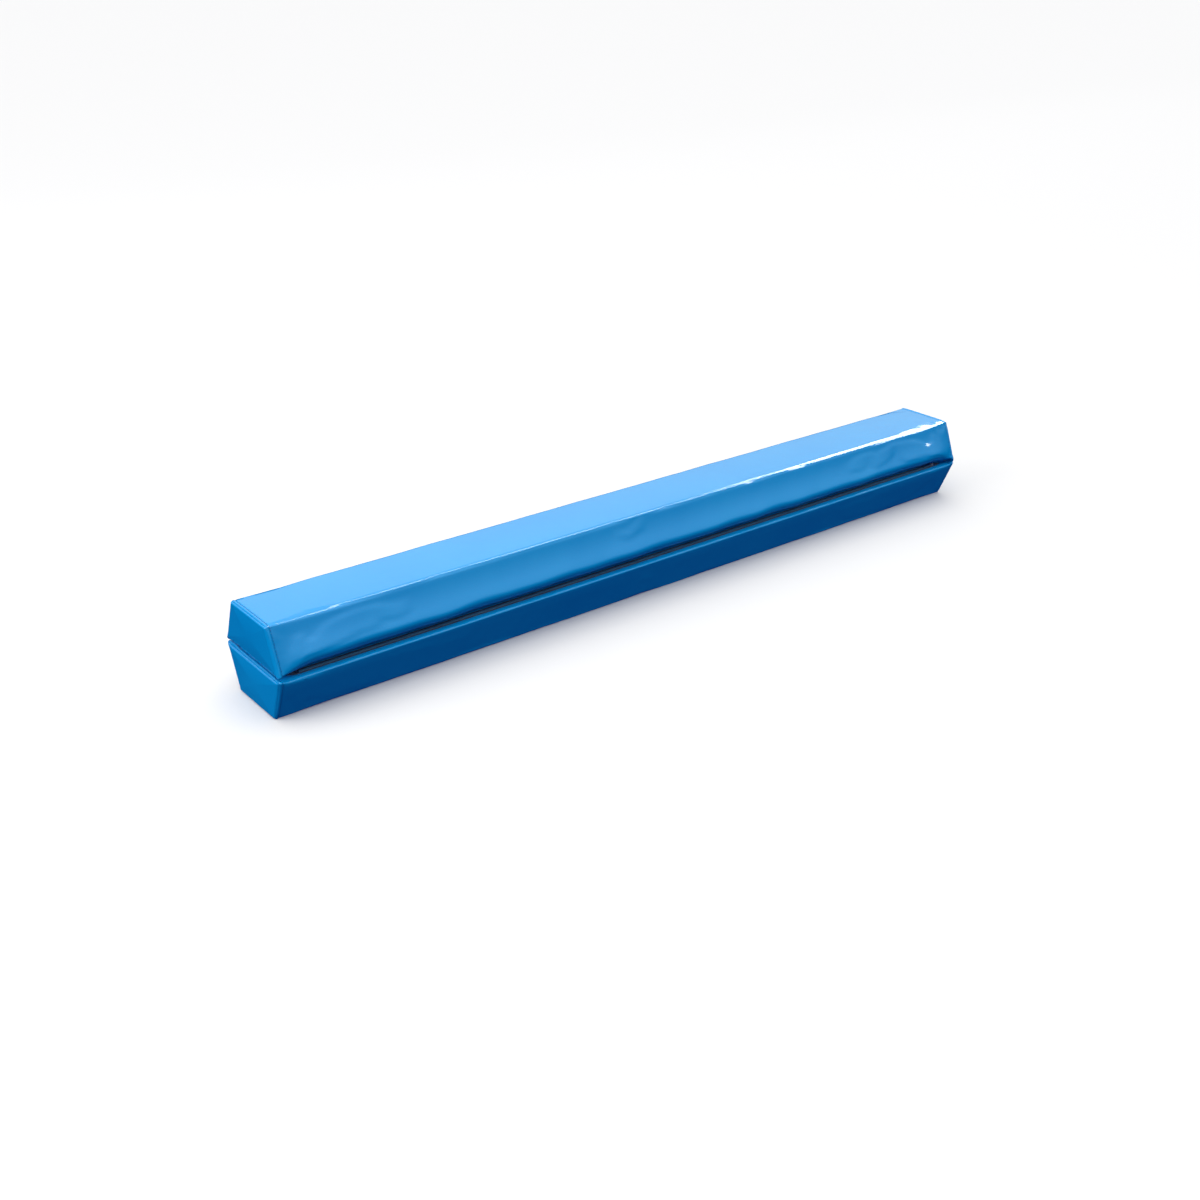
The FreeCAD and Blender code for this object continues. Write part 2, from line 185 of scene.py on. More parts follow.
def mix_colours(tree, factor, first, second):
    """The first colour where the factor is 0, the second where it is 1, and blends between."""
    node = tree.nodes.new("ShaderNodeMix")
    node.data_type = "RGBA"
    tree.links.new(factor, node.inputs["Factor"])
    node.inputs["A"].default_value = first
    node.inputs["B"].default_value = second
    return node.outputs["Result"]


def connect(tree, shader, **outputs):
    """Links these outputs to the shader's sockets."""
    for socket, output in outputs.items():
        tree.links.new(output, shader.inputs[socket.replace("_", " ")])


def bump(tree, height, strength, distance, below=None):
    """A bump of this height in metres, on top of another bump."""
    node = add_node(tree, "ShaderNodeBump", Height=height, Strength=strength, Distance=distance)
    if below is not None:
        tree.links.new(below, node.inputs["Normal"])
    return node.outputs["Normal"]


WAVE_LENGTH = 0.314


def thread_waves(tree, place, pitch, direction):
    """A wave across the threads of a cloth, one crest for each. At scale 1 it is WAVE_LENGTH long."""
    node = tree.nodes.new("ShaderNodeTexWave")
    node.bands_direction = direction
    tree.links.new(place, node.inputs["Vector"])
    node.inputs["Scale"].default_value = WAVE_LENGTH / pitch
    node.inputs["Distortion"].default_value = 0.4
    return node.outputs["Fac"]


# %% Glossy vinyl
SKY = (0.0005, 0.322, 0.760, 1)
SKY_WORN = (0.003, 0.346, 0.780, 1)
SCRIM_PITCH = 1.1 * MM


def make_vinyl():
    """Sky blue coated fabric: gloss, a faint thread print, fine grain and a few soft rubs."""
    material, tree, shader = new_material(
        "cover_vinyl", IOR=1.5, Coat_Weight=0.25, Coat_Roughness=0.04, Specular_IOR_Level=0.42
    )
    place = place_output(tree)
    along = place_output(tree, (0.25, 1, 1))
    cloudy = noise(tree, place, 7.0, 3.0)
    rubbed = noise(tree, along, 55.0, 5.0, 0.62)
    colour = mix_colours(tree, map_range(tree, cloudy, 0.35, 0.7, 0.0, 1.0), SKY, SKY_WORN)
    roughness = map_range(tree, rubbed, 0.45, 0.75, 0.09, 0.16)
    grain = bump(tree, noise(tree, place, 1500.0, 2.0), 0.06, 0.10 * MM)
    warp = bump(tree, thread_waves(tree, place, SCRIM_PITCH, "X"), 0.035, 0.10 * MM, grain)
    weft = bump(tree, thread_waves(tree, place, SCRIM_PITCH, "Y"), 0.035, 0.10 * MM, warp)
    soft = bump(tree, noise(tree, along, 40.0, 2.0), 0.10, 0.30 * MM, weft)
    connect(tree, shader, Base_Color=colour, Roughness=roughness, Normal=soft)
    return material


# %% Foam, woven tape, nylon coil, metal and thread
def make_foam():
    """Closed cell foam: pale, matt, with small cells."""
    material, tree, shader = new_material("core_foam", Roughness=0.9, Specular_IOR_Level=0.2)
    place = place_output(tree)
    cells = tree.nodes.new("ShaderNodeTexVoronoi")
    tree.links.new(place, cells.inputs["Vector"])
    cells.inputs["Scale"].default_value = 900.0
    colour = mix_colours(tree, noise(tree, place, 30.0), (0.72, 0.73, 0.72, 1), (0.80, 0.80, 0.78, 1))
    pitted = bump(tree, cells.outputs["Distance"], 0.5, 0.3 * MM)
    connect(tree, shader, Base_Color=colour, Normal=pitted)
    return material


def make_tape():
    """Navy zip tape with a herringbone of fine threads."""
    material, tree, shader = new_material("zip_tape", Roughness=0.82, Sheen_Weight=0.25)
    place = place_output(tree)
    warp = thread_waves(tree, place, 0.8 * MM, "X")
    weft = thread_waves(tree, place, 0.6 * MM, "Y")
    colour = mix_colours(tree, warp, (0.008, 0.040, 0.105, 1), (0.020, 0.080, 0.170, 1))
    woven = bump(tree, weft, 0.6, 0.15 * MM, bump(tree, warp, 0.6, 0.15 * MM))
    connect(tree, shader, Base_Color=colour, Normal=woven)
    return material


def make_coil():
    """Slate blue nylon monofilament."""
    material, tree, shader = new_material("zip_coil", IOR=1.53)
    place = place_output(tree)
    uneven = noise(tree, place, 260.0, 3.0)
    colour = mix_colours(tree, uneven, (0.050, 0.200, 0.350, 1), (0.090, 0.270, 0.430, 1))
    connect(tree, shader, Base_Color=colour, Roughness=map_range(tree, uneven, 0.3, 0.7, 0.28, 0.42))
    return material


def make_metal():
    """Nickel plate on zinc, lightly rubbed."""
    material, tree, shader = new_material("zip_metal", Metallic=1.0)
    place = place_output(tree)
    rub = noise(tree, place_output(tree, (1, 6, 1)), 420.0, 4.0)
    colour = mix_colours(tree, noise(tree, place, 120.0), (0.52, 0.53, 0.55, 1), (0.66, 0.66, 0.67, 1))
    roughness = map_range(tree, rub, 0.3, 0.8, 0.20, 0.42)
    scuffed = bump(tree, rub, 0.15, 0.05 * MM)
    connect(tree, shader, Base_Color=colour, Roughness=roughness, Normal=scuffed)
    return material


def make_thread():
    """Twisted polyester thread in the cover's blue, a shade darker."""
    material, tree, shader = new_material("sewing_thread", Specular_IOR_Level=0.3)
    place = place_output(tree)
    twist = noise(tree, place, 2600.0, 1.0)
    colour = mix_colours(tree, twist, (0.002, 0.110, 0.340, 1), (0.006, 0.180, 0.480, 1))
    roughness = map_range(tree, twist, 0.3, 0.7, 0.45, 0.65)
    twisted = bump(tree, twist, 0.5, 0.10 * MM)
    connect(tree, shader, Base_Color=colour, Roughness=roughness, Normal=twisted)
    return material


MATERIALS = {
    "vinyl": make_vinyl(),
    "foam": make_foam(),
    "tape": make_tape(),
    "coil": make_coil(),
    "metal": make_metal(),
    "thread": make_thread(),
}
print("materials:", ", ".join(MATERIALS))

# %% [markdown]
# ## The outline of a section
#
# Cut through a section and you see a trapezoid with soft corners. The cover is pulled tight at its
# sewn ends, so there the corners are sharp and the base is flat. Away from the ends the foam pushes
# the cover round: the base crowns, the sides swell near the base, and the base edges roll under.
#
# So one function draws the outline for any set of corner radii and swells, always with the same
# number of points. Calling it at many stations along the beam gives a grid that is the whole skin.
# The outline starts at the zip slot on the base, goes down the zip side, across the tread, up the
# other side and back over the base to the slot.

# %% Points of one outline
FLANGE_POINTS = 6
ZIP_EDGE_POINTS = 9
SIDE_POINTS = 13
TREAD_EDGE_POINTS = 9
TREAD_POINTS = 10
BACK_EDGE_POINTS = 17
BASE_POINTS = 30
BACK_SEAM_STEP = 10
ZIP_FROM_MIDDLE = BASE_HALF - 16 * MM
SLOT_HALF = 6 * MM
CORNER_PAD = 14 * MM
CORNER_RIM = 1.5 * MM
SWELL_HEIGHT_POWER = 2.9
CROWN_FROM = 0.75
TREAD_SHARE = 0.2
BACK_FULLNESS = 3.6
ZIP_FULLNESS = 2.8


def smooth_step(value):
    """Rises smoothly from 0 to 1 as the value does, and is level outside."""
    held = np.clip(value, 0.0, 1.0)
    return held * held * (3 - 2 * held)


def hump(distance, centre, width):
    """A bell curve, 1 high at its centre."""
    return np.exp(-(((distance - centre) / width) ** 2))


def arc(across, up, radius, start, finish, count):
    """Points on an arc about (across, up), between two angles."""
    angles = np.linspace(start, finish, count)
    return np.column_stack([across + radius * np.cos(angles), up + radius * np.sin(angles)])


def half_outline(tread_radius, base_radius, edge_points):
    """From the middle of the tread to the end of the base corner, on the +Y side."""
    quarter = math.pi / 2
    tread_end = TREAD_HALF - tread_radius * math.tan((quarter - SIDE_LEAN) / 2)
    base_end = BASE_HALF - base_radius * math.tan((quarter + SIDE_LEAN) / 2)
    tread = np.linspace((0.0, 0.0), (tread_end, 0.0), TREAD_POINTS)
    tread_edge = arc(tread_end, tread_radius, tread_radius, -quarter, -SIDE_LEAN, TREAD_EDGE_POINTS)
    base_edge = arc(base_end, EDGE_HEIGHT - base_radius, base_radius, -SIDE_LEAN, quarter, edge_points)
    side = np.linspace(tread_edge[-1], base_edge[0], SIDE_POINTS)
    return np.concatenate([tread, tread_edge[1:], side[1:-1], base_edge])


def full_outline(shape):
    """The whole outline, slot edge to slot edge, for one station's radii and swells."""
    zip_half = half_outline(shape["zip_tread_radius"], shape["zip_edge_radius"], ZIP_EDGE_POINTS)
    back_half = half_outline(shape["back_tread_radius"], shape["back_edge_radius"], BACK_EDGE_POINTS)
    zip_half = zip_half[::-1] * (-1, 1)
    slot_edge = -ZIP_FROM_MIDDLE - shape["slot_half"]
    slot_inner = -ZIP_FROM_MIDDLE + shape["slot_half"]
    flange = np.linspace((slot_edge, EDGE_HEIGHT), zip_half[0], FLANGE_POINTS)
    base = np.linspace(back_half[-1], (slot_inner, EDGE_HEIGHT), BASE_POINTS)
    points = np.concatenate([flange[:-1], zip_half, back_half[1:], base[1:]])
    across, up = points[:, 0].copy(), points[:, 1].copy()
    rise = up / EDGE_HEIGHT
    swell = np.sin(math.pi * np.clip(rise, 0, 1) ** SWELL_HEIGHT_POWER)
    side_swell = np.where(across < 0, shape["zip_swell"], shape["back_swell"])
    points[:, 0] = across + np.sign(across) * side_swell * swell
    near_base = smooth_step((rise - CROWN_FROM) / (1 - CROWN_FROM))
    near_tread = 1 - smooth_step(rise / TREAD_SHARE)
    fullness = np.where(across > 0, BACK_FULLNESS, ZIP_FULLNESS)
    crowned = np.clip(1 - np.abs(across / BASE_HALF) ** fullness, 0, 1)
    points[:, 1] += shape["crown"] * crowned * near_base
    to_edge = BASE_HALF - shape["padded_side"] * across
    near_corner = hump(to_edge, CORNER_PAD, CORNER_PAD) * np.clip(to_edge / CORNER_RIM, 0, 1)
    points[:, 1] += shape["corner_crown"] * near_corner * near_base
    points[:, 1] -= shape["tread_crown"] * np.clip(1 - (across / TREAD_HALF) ** 2, 0, 1) * near_tread
    return points


ZIP_TREAD_COLUMN = FLANGE_POINTS - 1 + ZIP_EDGE_POINTS + SIDE_POINTS - 2
BACK_TREAD_COLUMN = ZIP_TREAD_COLUMN + 2 * (TREAD_EDGE_POINTS - 1) + 2 * TREAD_POINTS - 2
TREAD_EDGE_COLUMNS = (ZIP_TREAD_COLUMN, BACK_TREAD_COLUMN)
SEAM_INDEX = BACK_TREAD_COLUMN + SIDE_POINTS - 1 + BACK_SEAM_STEP
print("tread edges at outline points", TREAD_EDGE_COLUMNS, "and the back seam at", SEAM_INDEX)

# %% [markdown]
# ## Stations along the beam
#
# The ends need steps of half a millimetre, to carry the lip of the seam. The middle needs only one
# every few millimetres. Steps that grow a little each time, mirrored about the middle, give both.
#
# Soft goods wander. A sum of a few long waves, with phases drawn from a seeded generator, moves the
# tread edges and the swells by fractions of a millimetre, so a highlight on an edge breaks up as it
# does on real vinyl.

# %% Stations, and slow waves along them
FIRST_STEP = 0.45 * MM
LONGEST_STEP = 6.0 * MM
STEP_GROWTH = 1.09


def make_stations():
    """Places along X from one end to the other, close together at the ends."""
    offsets = [0.0]
    step = FIRST_STEP
    while offsets[-1] + step < HALF_LENGTH - LONGEST_STEP / 2:
        offsets.append(offsets[-1] + step)
        step = min(step * STEP_GROWTH, LONGEST_STEP)
    left = np.array(offsets) - HALF_LENGTH
    return np.concatenate([left, [0.0], -left[::-1]])


def slow_wave(along, seed, shortest=0.08, longest=0.26, count=5):
    """A smooth wandering curve between about -1 and 1."""
    draw = random.Random(seed)
    total = np.zeros_like(along)
    for _ in range(count):
        length = draw.uniform(shortest, longest)
        total += np.sin(2 * math.pi * along / length + draw.uniform(0, 2 * math.pi))
    return total / math.sqrt(2 * count)


STATIONS = make_stations()
print(len(STATIONS), "stations")

# %% The skin before it is sewn
CORNER_REACH = 65 * MM
BASE_EDGE_REACH = 58 * MM
SLOT_CLOSES_FROM = 14 * MM
SLOT_OPEN_BY = 34 * MM
CROWN_REACH = 11 * MM
CORNER_CROWN_REACH = 2.0 * MM
SLOT_SHUT = 0.2 * MM
# Millimetres: held at the sewn ends, growth where the cover is free, and how far it wanders.
TREAD_RADIUS = (2.2, 5.3, 1.2)
ZIP_EDGE_RADIUS = (1.3, 0.5, 0.2)
BACK_EDGE_RADIUS = (2.0, 13.0, 1.2)
ZIP_SWELL = (0.4, 0.0, 0.3)
BACK_SWELL = (0.8, 6.2, 0.6)


def grown(size, free, wave):
    """One of these sizes at every station, in metres."""
    held, growth, wander = size
    return (held + (growth + wander * wave) * free) * MM


def skin_grid(stations, seed, tread_crown=0.0, padded_side=1):
    """The section's outside as a grid of points, stations by outline points, with its tread down.

    Tread_crown is how far the tread bulges. Padded_side is 1 or -1: the side of the base whose
    corners are filled out.
    """
    to_end = HALF_LENGTH - np.abs(stations)
    free = smooth_step(to_end / CORNER_REACH)
    base_free = smooth_step(to_end / BASE_EDGE_REACH)
    crowned = 1 - np.exp(-to_end / CROWN_REACH)
    corner_crowned = 1 - np.exp(-to_end / CORNER_CROWN_REACH)
    slot_open = smooth_step((to_end - SLOT_CLOSES_FROM) / (SLOT_OPEN_BY - SLOT_CLOSES_FROM))
    waves = [slow_wave(stations, seed + turn) for turn in range(6)]
    sizes = {
        "zip_tread_radius": grown(TREAD_RADIUS, free, waves[0]),
        "back_tread_radius": grown(TREAD_RADIUS, free, waves[1]),
        "zip_edge_radius": grown(ZIP_EDGE_RADIUS, base_free, waves[2]),
        "back_edge_radius": grown(BACK_EDGE_RADIUS, base_free, waves[3]),
        "zip_swell": grown(ZIP_SWELL, 1.0, waves[4]) * crowned,
        "back_swell": grown(BACK_SWELL, base_free, waves[5]) * crowned,
        "crown": CROWN * crowned,
        "corner_crown": CROWN * (corner_crowned - crowned),
        "slot_half": SLOT_SHUT + (SLOT_HALF - SLOT_SHUT) * slot_open,
        "tread_crown": tread_crown * crowned,
        "padded_side": np.full(len(stations), padded_side),
    }
    rows = range(len(stations))
    outline = np.stack([full_outline({name: size[row] for name, size in sizes.items()}) for row in rows])
    along = np.broadcast_to(stations[:, None], outline.shape[:2])
    return np.concatenate([along[..., None], outline], 2)


trial = skin_grid(STATIONS, 1)
print("skin grid", trial.shape, "widest", round(float(trial[..., 1].max()) / MM, 1), "mm")

# %% [markdown]
# ## Letting the cover swell
#
# A formula alone looks moulded. Real cloth settles: it balloons where it is free, is held at its
# seams, and gathers a little where thread pulls it in. Blender's cloth solver does that. The skin
# goes in as a closed bag with its seams pinned, slightly more cloth than it needs, and air pressure
# inside. Only the movement is kept, held to about a millimetre, and added to the grid.

# %% Cloth simulation of one cover
CLOTH_STEP = 9 * MM
CLOTH_FRAMES = 20
CLOTH_PRESSURE = 4.0
BACK_SIDE_MOVEMENT = 1.3 * MM
ZIP_SIDE_MOVEMENT = 0.6 * MM
TREAD_MOVEMENT = 0.7 * MM
BASE_MOVEMENT = 0.2 * MM
SIDE_HOLD_HEIGHT = 18 * MM
BASE_FACES_FROM = 0.3
BASE_FACES_FADE = 0.5


def tube_faces(rows, columns):
    """Quads round a tube of closed rings."""
    faces = []
    for row in range(rows - 1):
        low, high = row * columns, (row + 1) * columns
        for column in range(columns):
            following = (column + 1) % columns
            faces.append((low + column, low + following, high + following, high + column))
    return faces


def bag_mesh(name, grid):
    """A closed bag round a skin grid: the slot and both ends are filled in."""
    rows, columns = grid.shape[:2]
    points = grid.reshape(-1, 3)
    faces = tube_faces(rows, columns)
    extra = []
    for row, flip in ((0, True), (rows - 1, False)):
        ring = [row * columns + column for column in range(columns)]
        middle = grid[row].mean(0)
        for shrink in (0.66, 0.33):
            start = len(points) + len(extra)
            extra += [middle + (point - middle) * shrink for point in grid[row]]
            inner = [start + column for column in range(columns)]
            for column in range(columns):
                following = (column + 1) % columns
                quad = (ring[column], ring[following], inner[following], inner[column])
                faces.append(quad if flip else quad[::-1])
            ring = inner
        centre = len(points) + len(extra)
        extra.append(middle)
        for column in range(columns):
            triangle = (ring[column], ring[(column + 1) % columns], centre)
            faces.append(triangle if flip else triangle[::-1])
    mesh = bpy.data.meshes.new(name)
    mesh.from_pydata(np.concatenate([points, np.array(extra)]).tolist(), [], faces)
    mesh.update()
    return mesh


def surface_normals(grid):
    """Outward unit normals of a grid whose columns run round a body and rows along it."""
    along = np.gradient(grid, axis=0)
    round_body = np.gradient(grid, axis=1)
    normals = np.cross(round_body, along)
    return normals / np.maximum(np.linalg.norm(normals, axis=2, keepdims=True), 1e-12)


def swell_cover(name, grid):
    """The movement of each grid point when the cover is put under pressure."""
    mesh = bag_mesh(name, grid)
    bag = bpy.data.objects.new(name, mesh)
    bpy.context.scene.collection.objects.link(bag)
    rows, columns = grid.shape[:2]
    pins = bag.vertex_groups.new(name="pins")
    seam_columns = (0, SEAM_INDEX, columns - 1)
    held = [row * columns + column for row in range(rows) for column in seam_columns]
    held += [row * columns + column for row in (0, rows - 1) for column in range(columns)]
    held += list(range(rows * columns, len(mesh.vertices)))
    pins.add(held, 1.0, "REPLACE")
    cloth = bag.modifiers.new("cloth", "CLOTH")
    settings = cloth.settings
    settings.quality = 5
    settings.mass = 0.3
    settings.tension_stiffness = 12
    settings.compression_stiffness = 12
    settings.shear_stiffness = 4
    settings.bending_stiffness = 2.0
    settings.vertex_group_mass = "pins"
    settings.shrink_min = -0.006
    settings.use_pressure = True
    settings.uniform_pressure_force = CLOTH_PRESSURE
    settings.effector_weights.gravity = 0
    cloth.collision_settings.use_collision = False
    cloth.point_cache.frame_end = CLOTH_FRAMES
    for step in range(1, CLOTH_FRAMES + 1):
        bpy.context.scene.frame_set(step)
    settled = bag.evaluated_get(bpy.context.evaluated_depsgraph_get())
    moved = np.empty(len(mesh.vertices) * 3)
    settled.data.vertices.foreach_get("co", moved)
    moved = moved.reshape(-1, 3)[: rows * columns].reshape(rows, columns, 3) - grid
    bpy.data.objects.remove(bag)
    bpy.data.meshes.remove(mesh)
    bpy.context.scene.frame_set(1)
    normals = surface_normals(grid)
    outwards = np.sum(moved * normals, axis=2)
    print(f"{name} moved from {outwards.min() / MM:.2f} to {outwards.max() / MM:.2f} mm")
    side_most = np.where(grid[..., 1] < 0, ZIP_SIDE_MOVEMENT, BACK_SIDE_MOVEMENT)
    up_side = smooth_step(grid[..., 2] / SIDE_HOLD_HEIGHT)
    most = TREAD_MOVEMENT + (side_most - TREAD_MOVEMENT) * up_side
    most += (BASE_MOVEMENT - most) * smooth_step((normals[..., 2] - BASE_FACES_FROM) / BASE_FACES_FADE)
    return normals * (most * np.tanh(np.maximum(outwards, 0) / most))[..., None]


def settle(name, facts):
    """The movement at every fine station, from a simulation at coarser ones."""
    fine = np.zeros_like(trial)
    coarse = np.linspace(-HALF_LENGTH, HALF_LENGTH, round(2 * HALF_LENGTH / CLOTH_STEP) + 1)
    moved = swell_cover(name, skin_grid(coarse, **facts["cut"]))
    for column in range(moved.shape[1]):
        for axis in range(3):
            fine[:, column, axis] = np.interp(STATIONS, coarse, moved[:, column, axis])
    return fine


# %% [markdown]
# ## Seams, hems and creases
#
# Where a wrap meets an end panel, both cloths turn in and are sewn through. From outside that is a
# lip, then a flat band where the spare cloth lies double, then a fine groove under the top stitch.
# Short puckers run away from the groove. At the corners of the tread the cloth has nowhere to go, so
# creases fan out over the side.
#
# All of it is a height over the skin: it depends only on how far a point is from the seam, in
# millimetres, and how far it is round the outline.

# %% The rolled corner at a sewn end
ROLL_RADIUS = 2.3
SEAM_PINCH = 0.8
SEAM_PINCH_REACH = 0.5
ROLL_LENGTH = ROLL_RADIUS * math.pi / 4


def roll(distance):
    """Round the corner from the seam: how far in from one face, and how far below the other."""
    angle = math.pi / 4 * (1 - np.clip(distance / ROLL_LENGTH, 0, 1))
    beyond = np.maximum(distance - ROLL_LENGTH, 0)
    inwards = ROLL_RADIUS * (1 - np.sin(angle)) + beyond
    below = ROLL_RADIUS * (1 - np.cos(angle))
    return inwards, below


# %% Heights over the skin
STITCH_FROM_END = 5.6
BAND_END = 7.5
LIP_HEIGHT = 0.7
BAND_HEIGHT = 0.45
GROOVE_DEPTH = 1.05
PUCKER_HEIGHT = 0.11
PUCKER_REACH = 7.0
CREASE_HEIGHT = 0.28
SLOT_STITCH = 3.0
SLOT_HEM = 0.30
SLOT_STITCH_DIP = 0.35
BACK_SEAM_LIP = 0.45
BACK_SEAM_GROOVE = 0.75
SEWN_REACH = 30
DRIFT_HEIGHT = 0.06
CRUMPLE_HEIGHT = 0.05
CRUMPLE_REACH = 7
RELIEF_SEED = 40
CREASE_SEED = 50
DRIFT_SEED = 60
END_PANEL_SEED = 70
CRUMPLE_SEED = 80
DOG_EAR = 2.4 * MM
EAR_REACH = (7, 7, 6)
EAR_DIRECTION = (0.35, 0.5, 1.3)


def end_relief(to_end, round_outline, seed):
    """Millimetres out of the surface, near a sewn end. Distances are in millimetres."""
    draw = random.Random(seed)
    roll_in = -roll(to_end)[1] - SEAM_PINCH * np.exp(-to_end / SEAM_PINCH_REACH)
    lip = LIP_HEIGHT * hump(to_end, 3.0, 1.2)
    band = BAND_HEIGHT * (1 - smooth_step((to_end - BAND_END + 2.0) / 2.0)) * smooth_step(to_end / 2)
    groove = -GROOVE_DEPTH * hump(to_end, STITCH_FROM_END, 0.8)
    ripple = np.zeros_like(round_outline)
    for _ in range(4):
        pitch = draw.uniform(7.0, 15.0)
        ripple = ripple + np.sin(2 * math.pi * round_outline / pitch + draw.uniform(0, 6.28))
    pucker = PUCKER_HEIGHT * ripple * np.exp(-np.abs(to_end - STITCH_FROM_END) / PUCKER_REACH)
    return roll_in + lip + band + groove + pucker


def corner_creases(to_end, from_edge, seed):
    """Creases that fan from a tread corner over the side, in millimetres."""
    draw = random.Random(seed)
    reach = np.hypot(to_end, from_edge)
    angle = np.arctan2(from_edge, to_end + 1e-6)
    fold = np.sin(angle * draw.uniform(6.0, 8.0) + draw.uniform(0, 6.28))
    fade = np.exp(-reach / draw.uniform(14, 20)) * smooth_step((reach - 5) / 9) * (from_edge > 0)
    pulled = draw.uniform(0.5, 1.3) * np.exp(-((to_end / 10) ** 2)) * np.exp(-((from_edge / 5) ** 2))
    return CREASE_HEIGHT * fold * fade * smooth_step(from_edge / 6) - pulled


def dog_ears(grid, to_end):
    """Pulls the wide corners of a sewn end out into small points."""
    across, up = grid[..., 1], grid[..., 2]
    away = (to_end, (BASE_HALF - np.abs(across)) / MM, (EDGE_HEIGHT - up) / MM)
    pull = DOG_EAR * np.exp(-sum((gap / reach) ** 2 for gap, reach in zip(away, EAR_REACH)))
    outwards = np.stack([np.sign(grid[..., 0]), np.sign(across), np.ones_like(up)], -1)
    return outwards * EAR_DIRECTION * pull[..., None]


def dress_skin(grid, seed):
    """Adds seams, hems, creases and slow unevenness to a settled skin."""
    steps = np.linalg.norm(np.diff(grid, axis=1), axis=2)
    walked = np.concatenate([np.zeros((len(grid), 1)), np.cumsum(steps, axis=1)], 1) / MM
    to_end = (HALF_LENGTH - np.abs(STATIONS))[:, None] / MM + np.zeros_like(walked)
    height = np.zeros_like(walked)
    for half, sign in enumerate((-1, 1)):
        here = (np.sign(STATIONS) == sign)[:, None]
        height += np.where(here, end_relief(to_end, walked, seed + RELIEF_SEED + half), 0)
        for side, edge_column in enumerate(TREAD_EDGE_COLUMNS):
            away = (walked[:, edge_column : edge_column + 1] - walked) * (1 if side == 0 else -1)
            crease = corner_creases(to_end, away, seed + CREASE_SEED + 2 * half + side)
            height += np.where(here, crease, 0)
    for from_slot in (walked, walked[:, -1:] - walked):
        height += SLOT_HEM * (1 - smooth_step((from_slot - 6.5) / 1.5) - np.exp(-from_slot / 0.5))
        height -= SLOT_STITCH_DIP * hump(from_slot, SLOT_STITCH, 0.6)
    seam = np.abs(walked - walked[:, SEAM_INDEX : SEAM_INDEX + 1])
    height += BACK_SEAM_LIP * hump(seam, 2.0, 1.5) - BACK_SEAM_GROOVE * np.exp(-seam / 0.7)
    free = smooth_step(to_end / SEWN_REACH)
    shift = (roll(to_end)[0] - to_end) * (1 - free) * MM
    grid = grid.copy()
    grid[..., 0] -= np.sign(STATIONS)[:, None] * shift
    grid = grid + dog_ears(grid, to_end)
    drift = slow_wave(STATIONS[:, None] + walked * 0.7 * MM, seed + DRIFT_SEED, 0.03, 0.09, 6)
    height += DRIFT_HEIGHT * drift * free
    for edge_column in TREAD_EDGE_COLUMNS:
        from_edge = walked - walked[:, edge_column : edge_column + 1]
        slanted = STATIONS[:, None] + from_edge * 0.4 * MM
        crumple = slow_wave(slanted, seed + CRUMPLE_SEED, 0.008, 0.03, 6)
        height += CRUMPLE_HEIGHT * crumple * hump(from_edge, 0, CRUMPLE_REACH) * free
    return grid + surface_normals(grid) * (height * MM)[..., None]


# %% [markdown]
# ## Turning grids into cloth
#
# A grid has no thickness, and the real panels do. Each panel becomes a closed shell: the grid, a
# second grid just inside it, and a strip round the rim. Building it directly keeps the mesh clean.
# The same helper sets up each piece: it gives it its material, puts it on the body that it rides
# on, and hides the CAD node that it stands for.

# %% Shells, and registering a piece
SHARP_ANGLE = math.radians(55)


def mesh_piece(name, points, faces, finish, body, replaces=()):
    """A finished mesh object that rides on a body."""
    mesh = bpy.data.meshes.new(name)
    mesh.from_pydata(np.asarray(points).tolist(), [], faces)
    mesh.validate()
    mesh.shade_smooth()
    mesh.set_sharp_from_angle(angle=SHARP_ANGLE)
    mesh.materials.append(MATERIALS[finish])
    piece = bpy.data.objects.new(name, mesh)
    bpy.context.scene.collection.objects.link(piece)
    if body:
        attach(piece, body)
    if replaces:
        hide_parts(*replaces)
    return piece


def grid_faces(rows, columns, start=0, flip=False):
    """Quads of an open sheet of points."""
    faces = []
    for row in range(rows - 1):
        for column in range(columns - 1):
            low = start + row * columns + column
            quad = (low, low + 1, low + columns + 1, low + columns)
            faces.append(quad[::-1] if flip else quad)
    return faces


def rim_indices(rows, columns):
    """The border of a grid, once round."""
    first = list(range(columns))
    right = [row * columns + columns - 1 for row in range(1, rows)]
    last = [(rows - 1) * columns + column for column in range(columns - 2, -1, -1)]
    left = [row * columns for row in range(rows - 2, 0, -1)]
    return first + right + last + left


def shell(grid, thickness):
    """Points and faces of a closed sheet whose outer side is the grid."""
    rows, columns = grid.shape[:2]
    count = rows * columns
    outer = grid.reshape(-1, 3)
    inner = (grid - surface_normals(grid) * thickness).reshape(-1, 3)
    faces = grid_faces(rows, columns) + grid_faces(rows, columns, count, flip=True)
    rim = rim_indices(rows, columns)
    for here, following in zip(rim, rim[1:] + rim[:1]):
        faces.append((following, here, here + count, following + count))
    return np.concatenate([outer, inner]), faces


def to_upper(points):
    """Half a turn about the line along X through the middle of the fold."""
    turned = np.array(points, float)
    turned[..., 1] *= -1
    turned[..., 2] = 2 * FOLD_Z - turned[..., 2]
    return turned


SECTIONS = {
    "lower": {
        "seed": 11,
        "cut": {"seed": 11, "tread_crown": 0.0, "padded_side": 1},
        "move": lambda points: np.array(points, float),
    },
    "upper": {
        "seed": 27,
        "cut": {"seed": 27, "tread_crown": 1.1 * MM, "padded_side": -1},
        "move": to_upper,
    },
}


def section_piece(section, part, ending, points, faces, finish):
    """A piece that stands for one CAD node of a section, moved to its place in the folded beam."""
    node = f"{section}_{part}"
    placed = SECTIONS[section]["move"](points)
    mesh_piece(f"{node}_{ending}", placed, faces, finish, f"{section}_section", [node])
    print(node, len(faces), "faces")


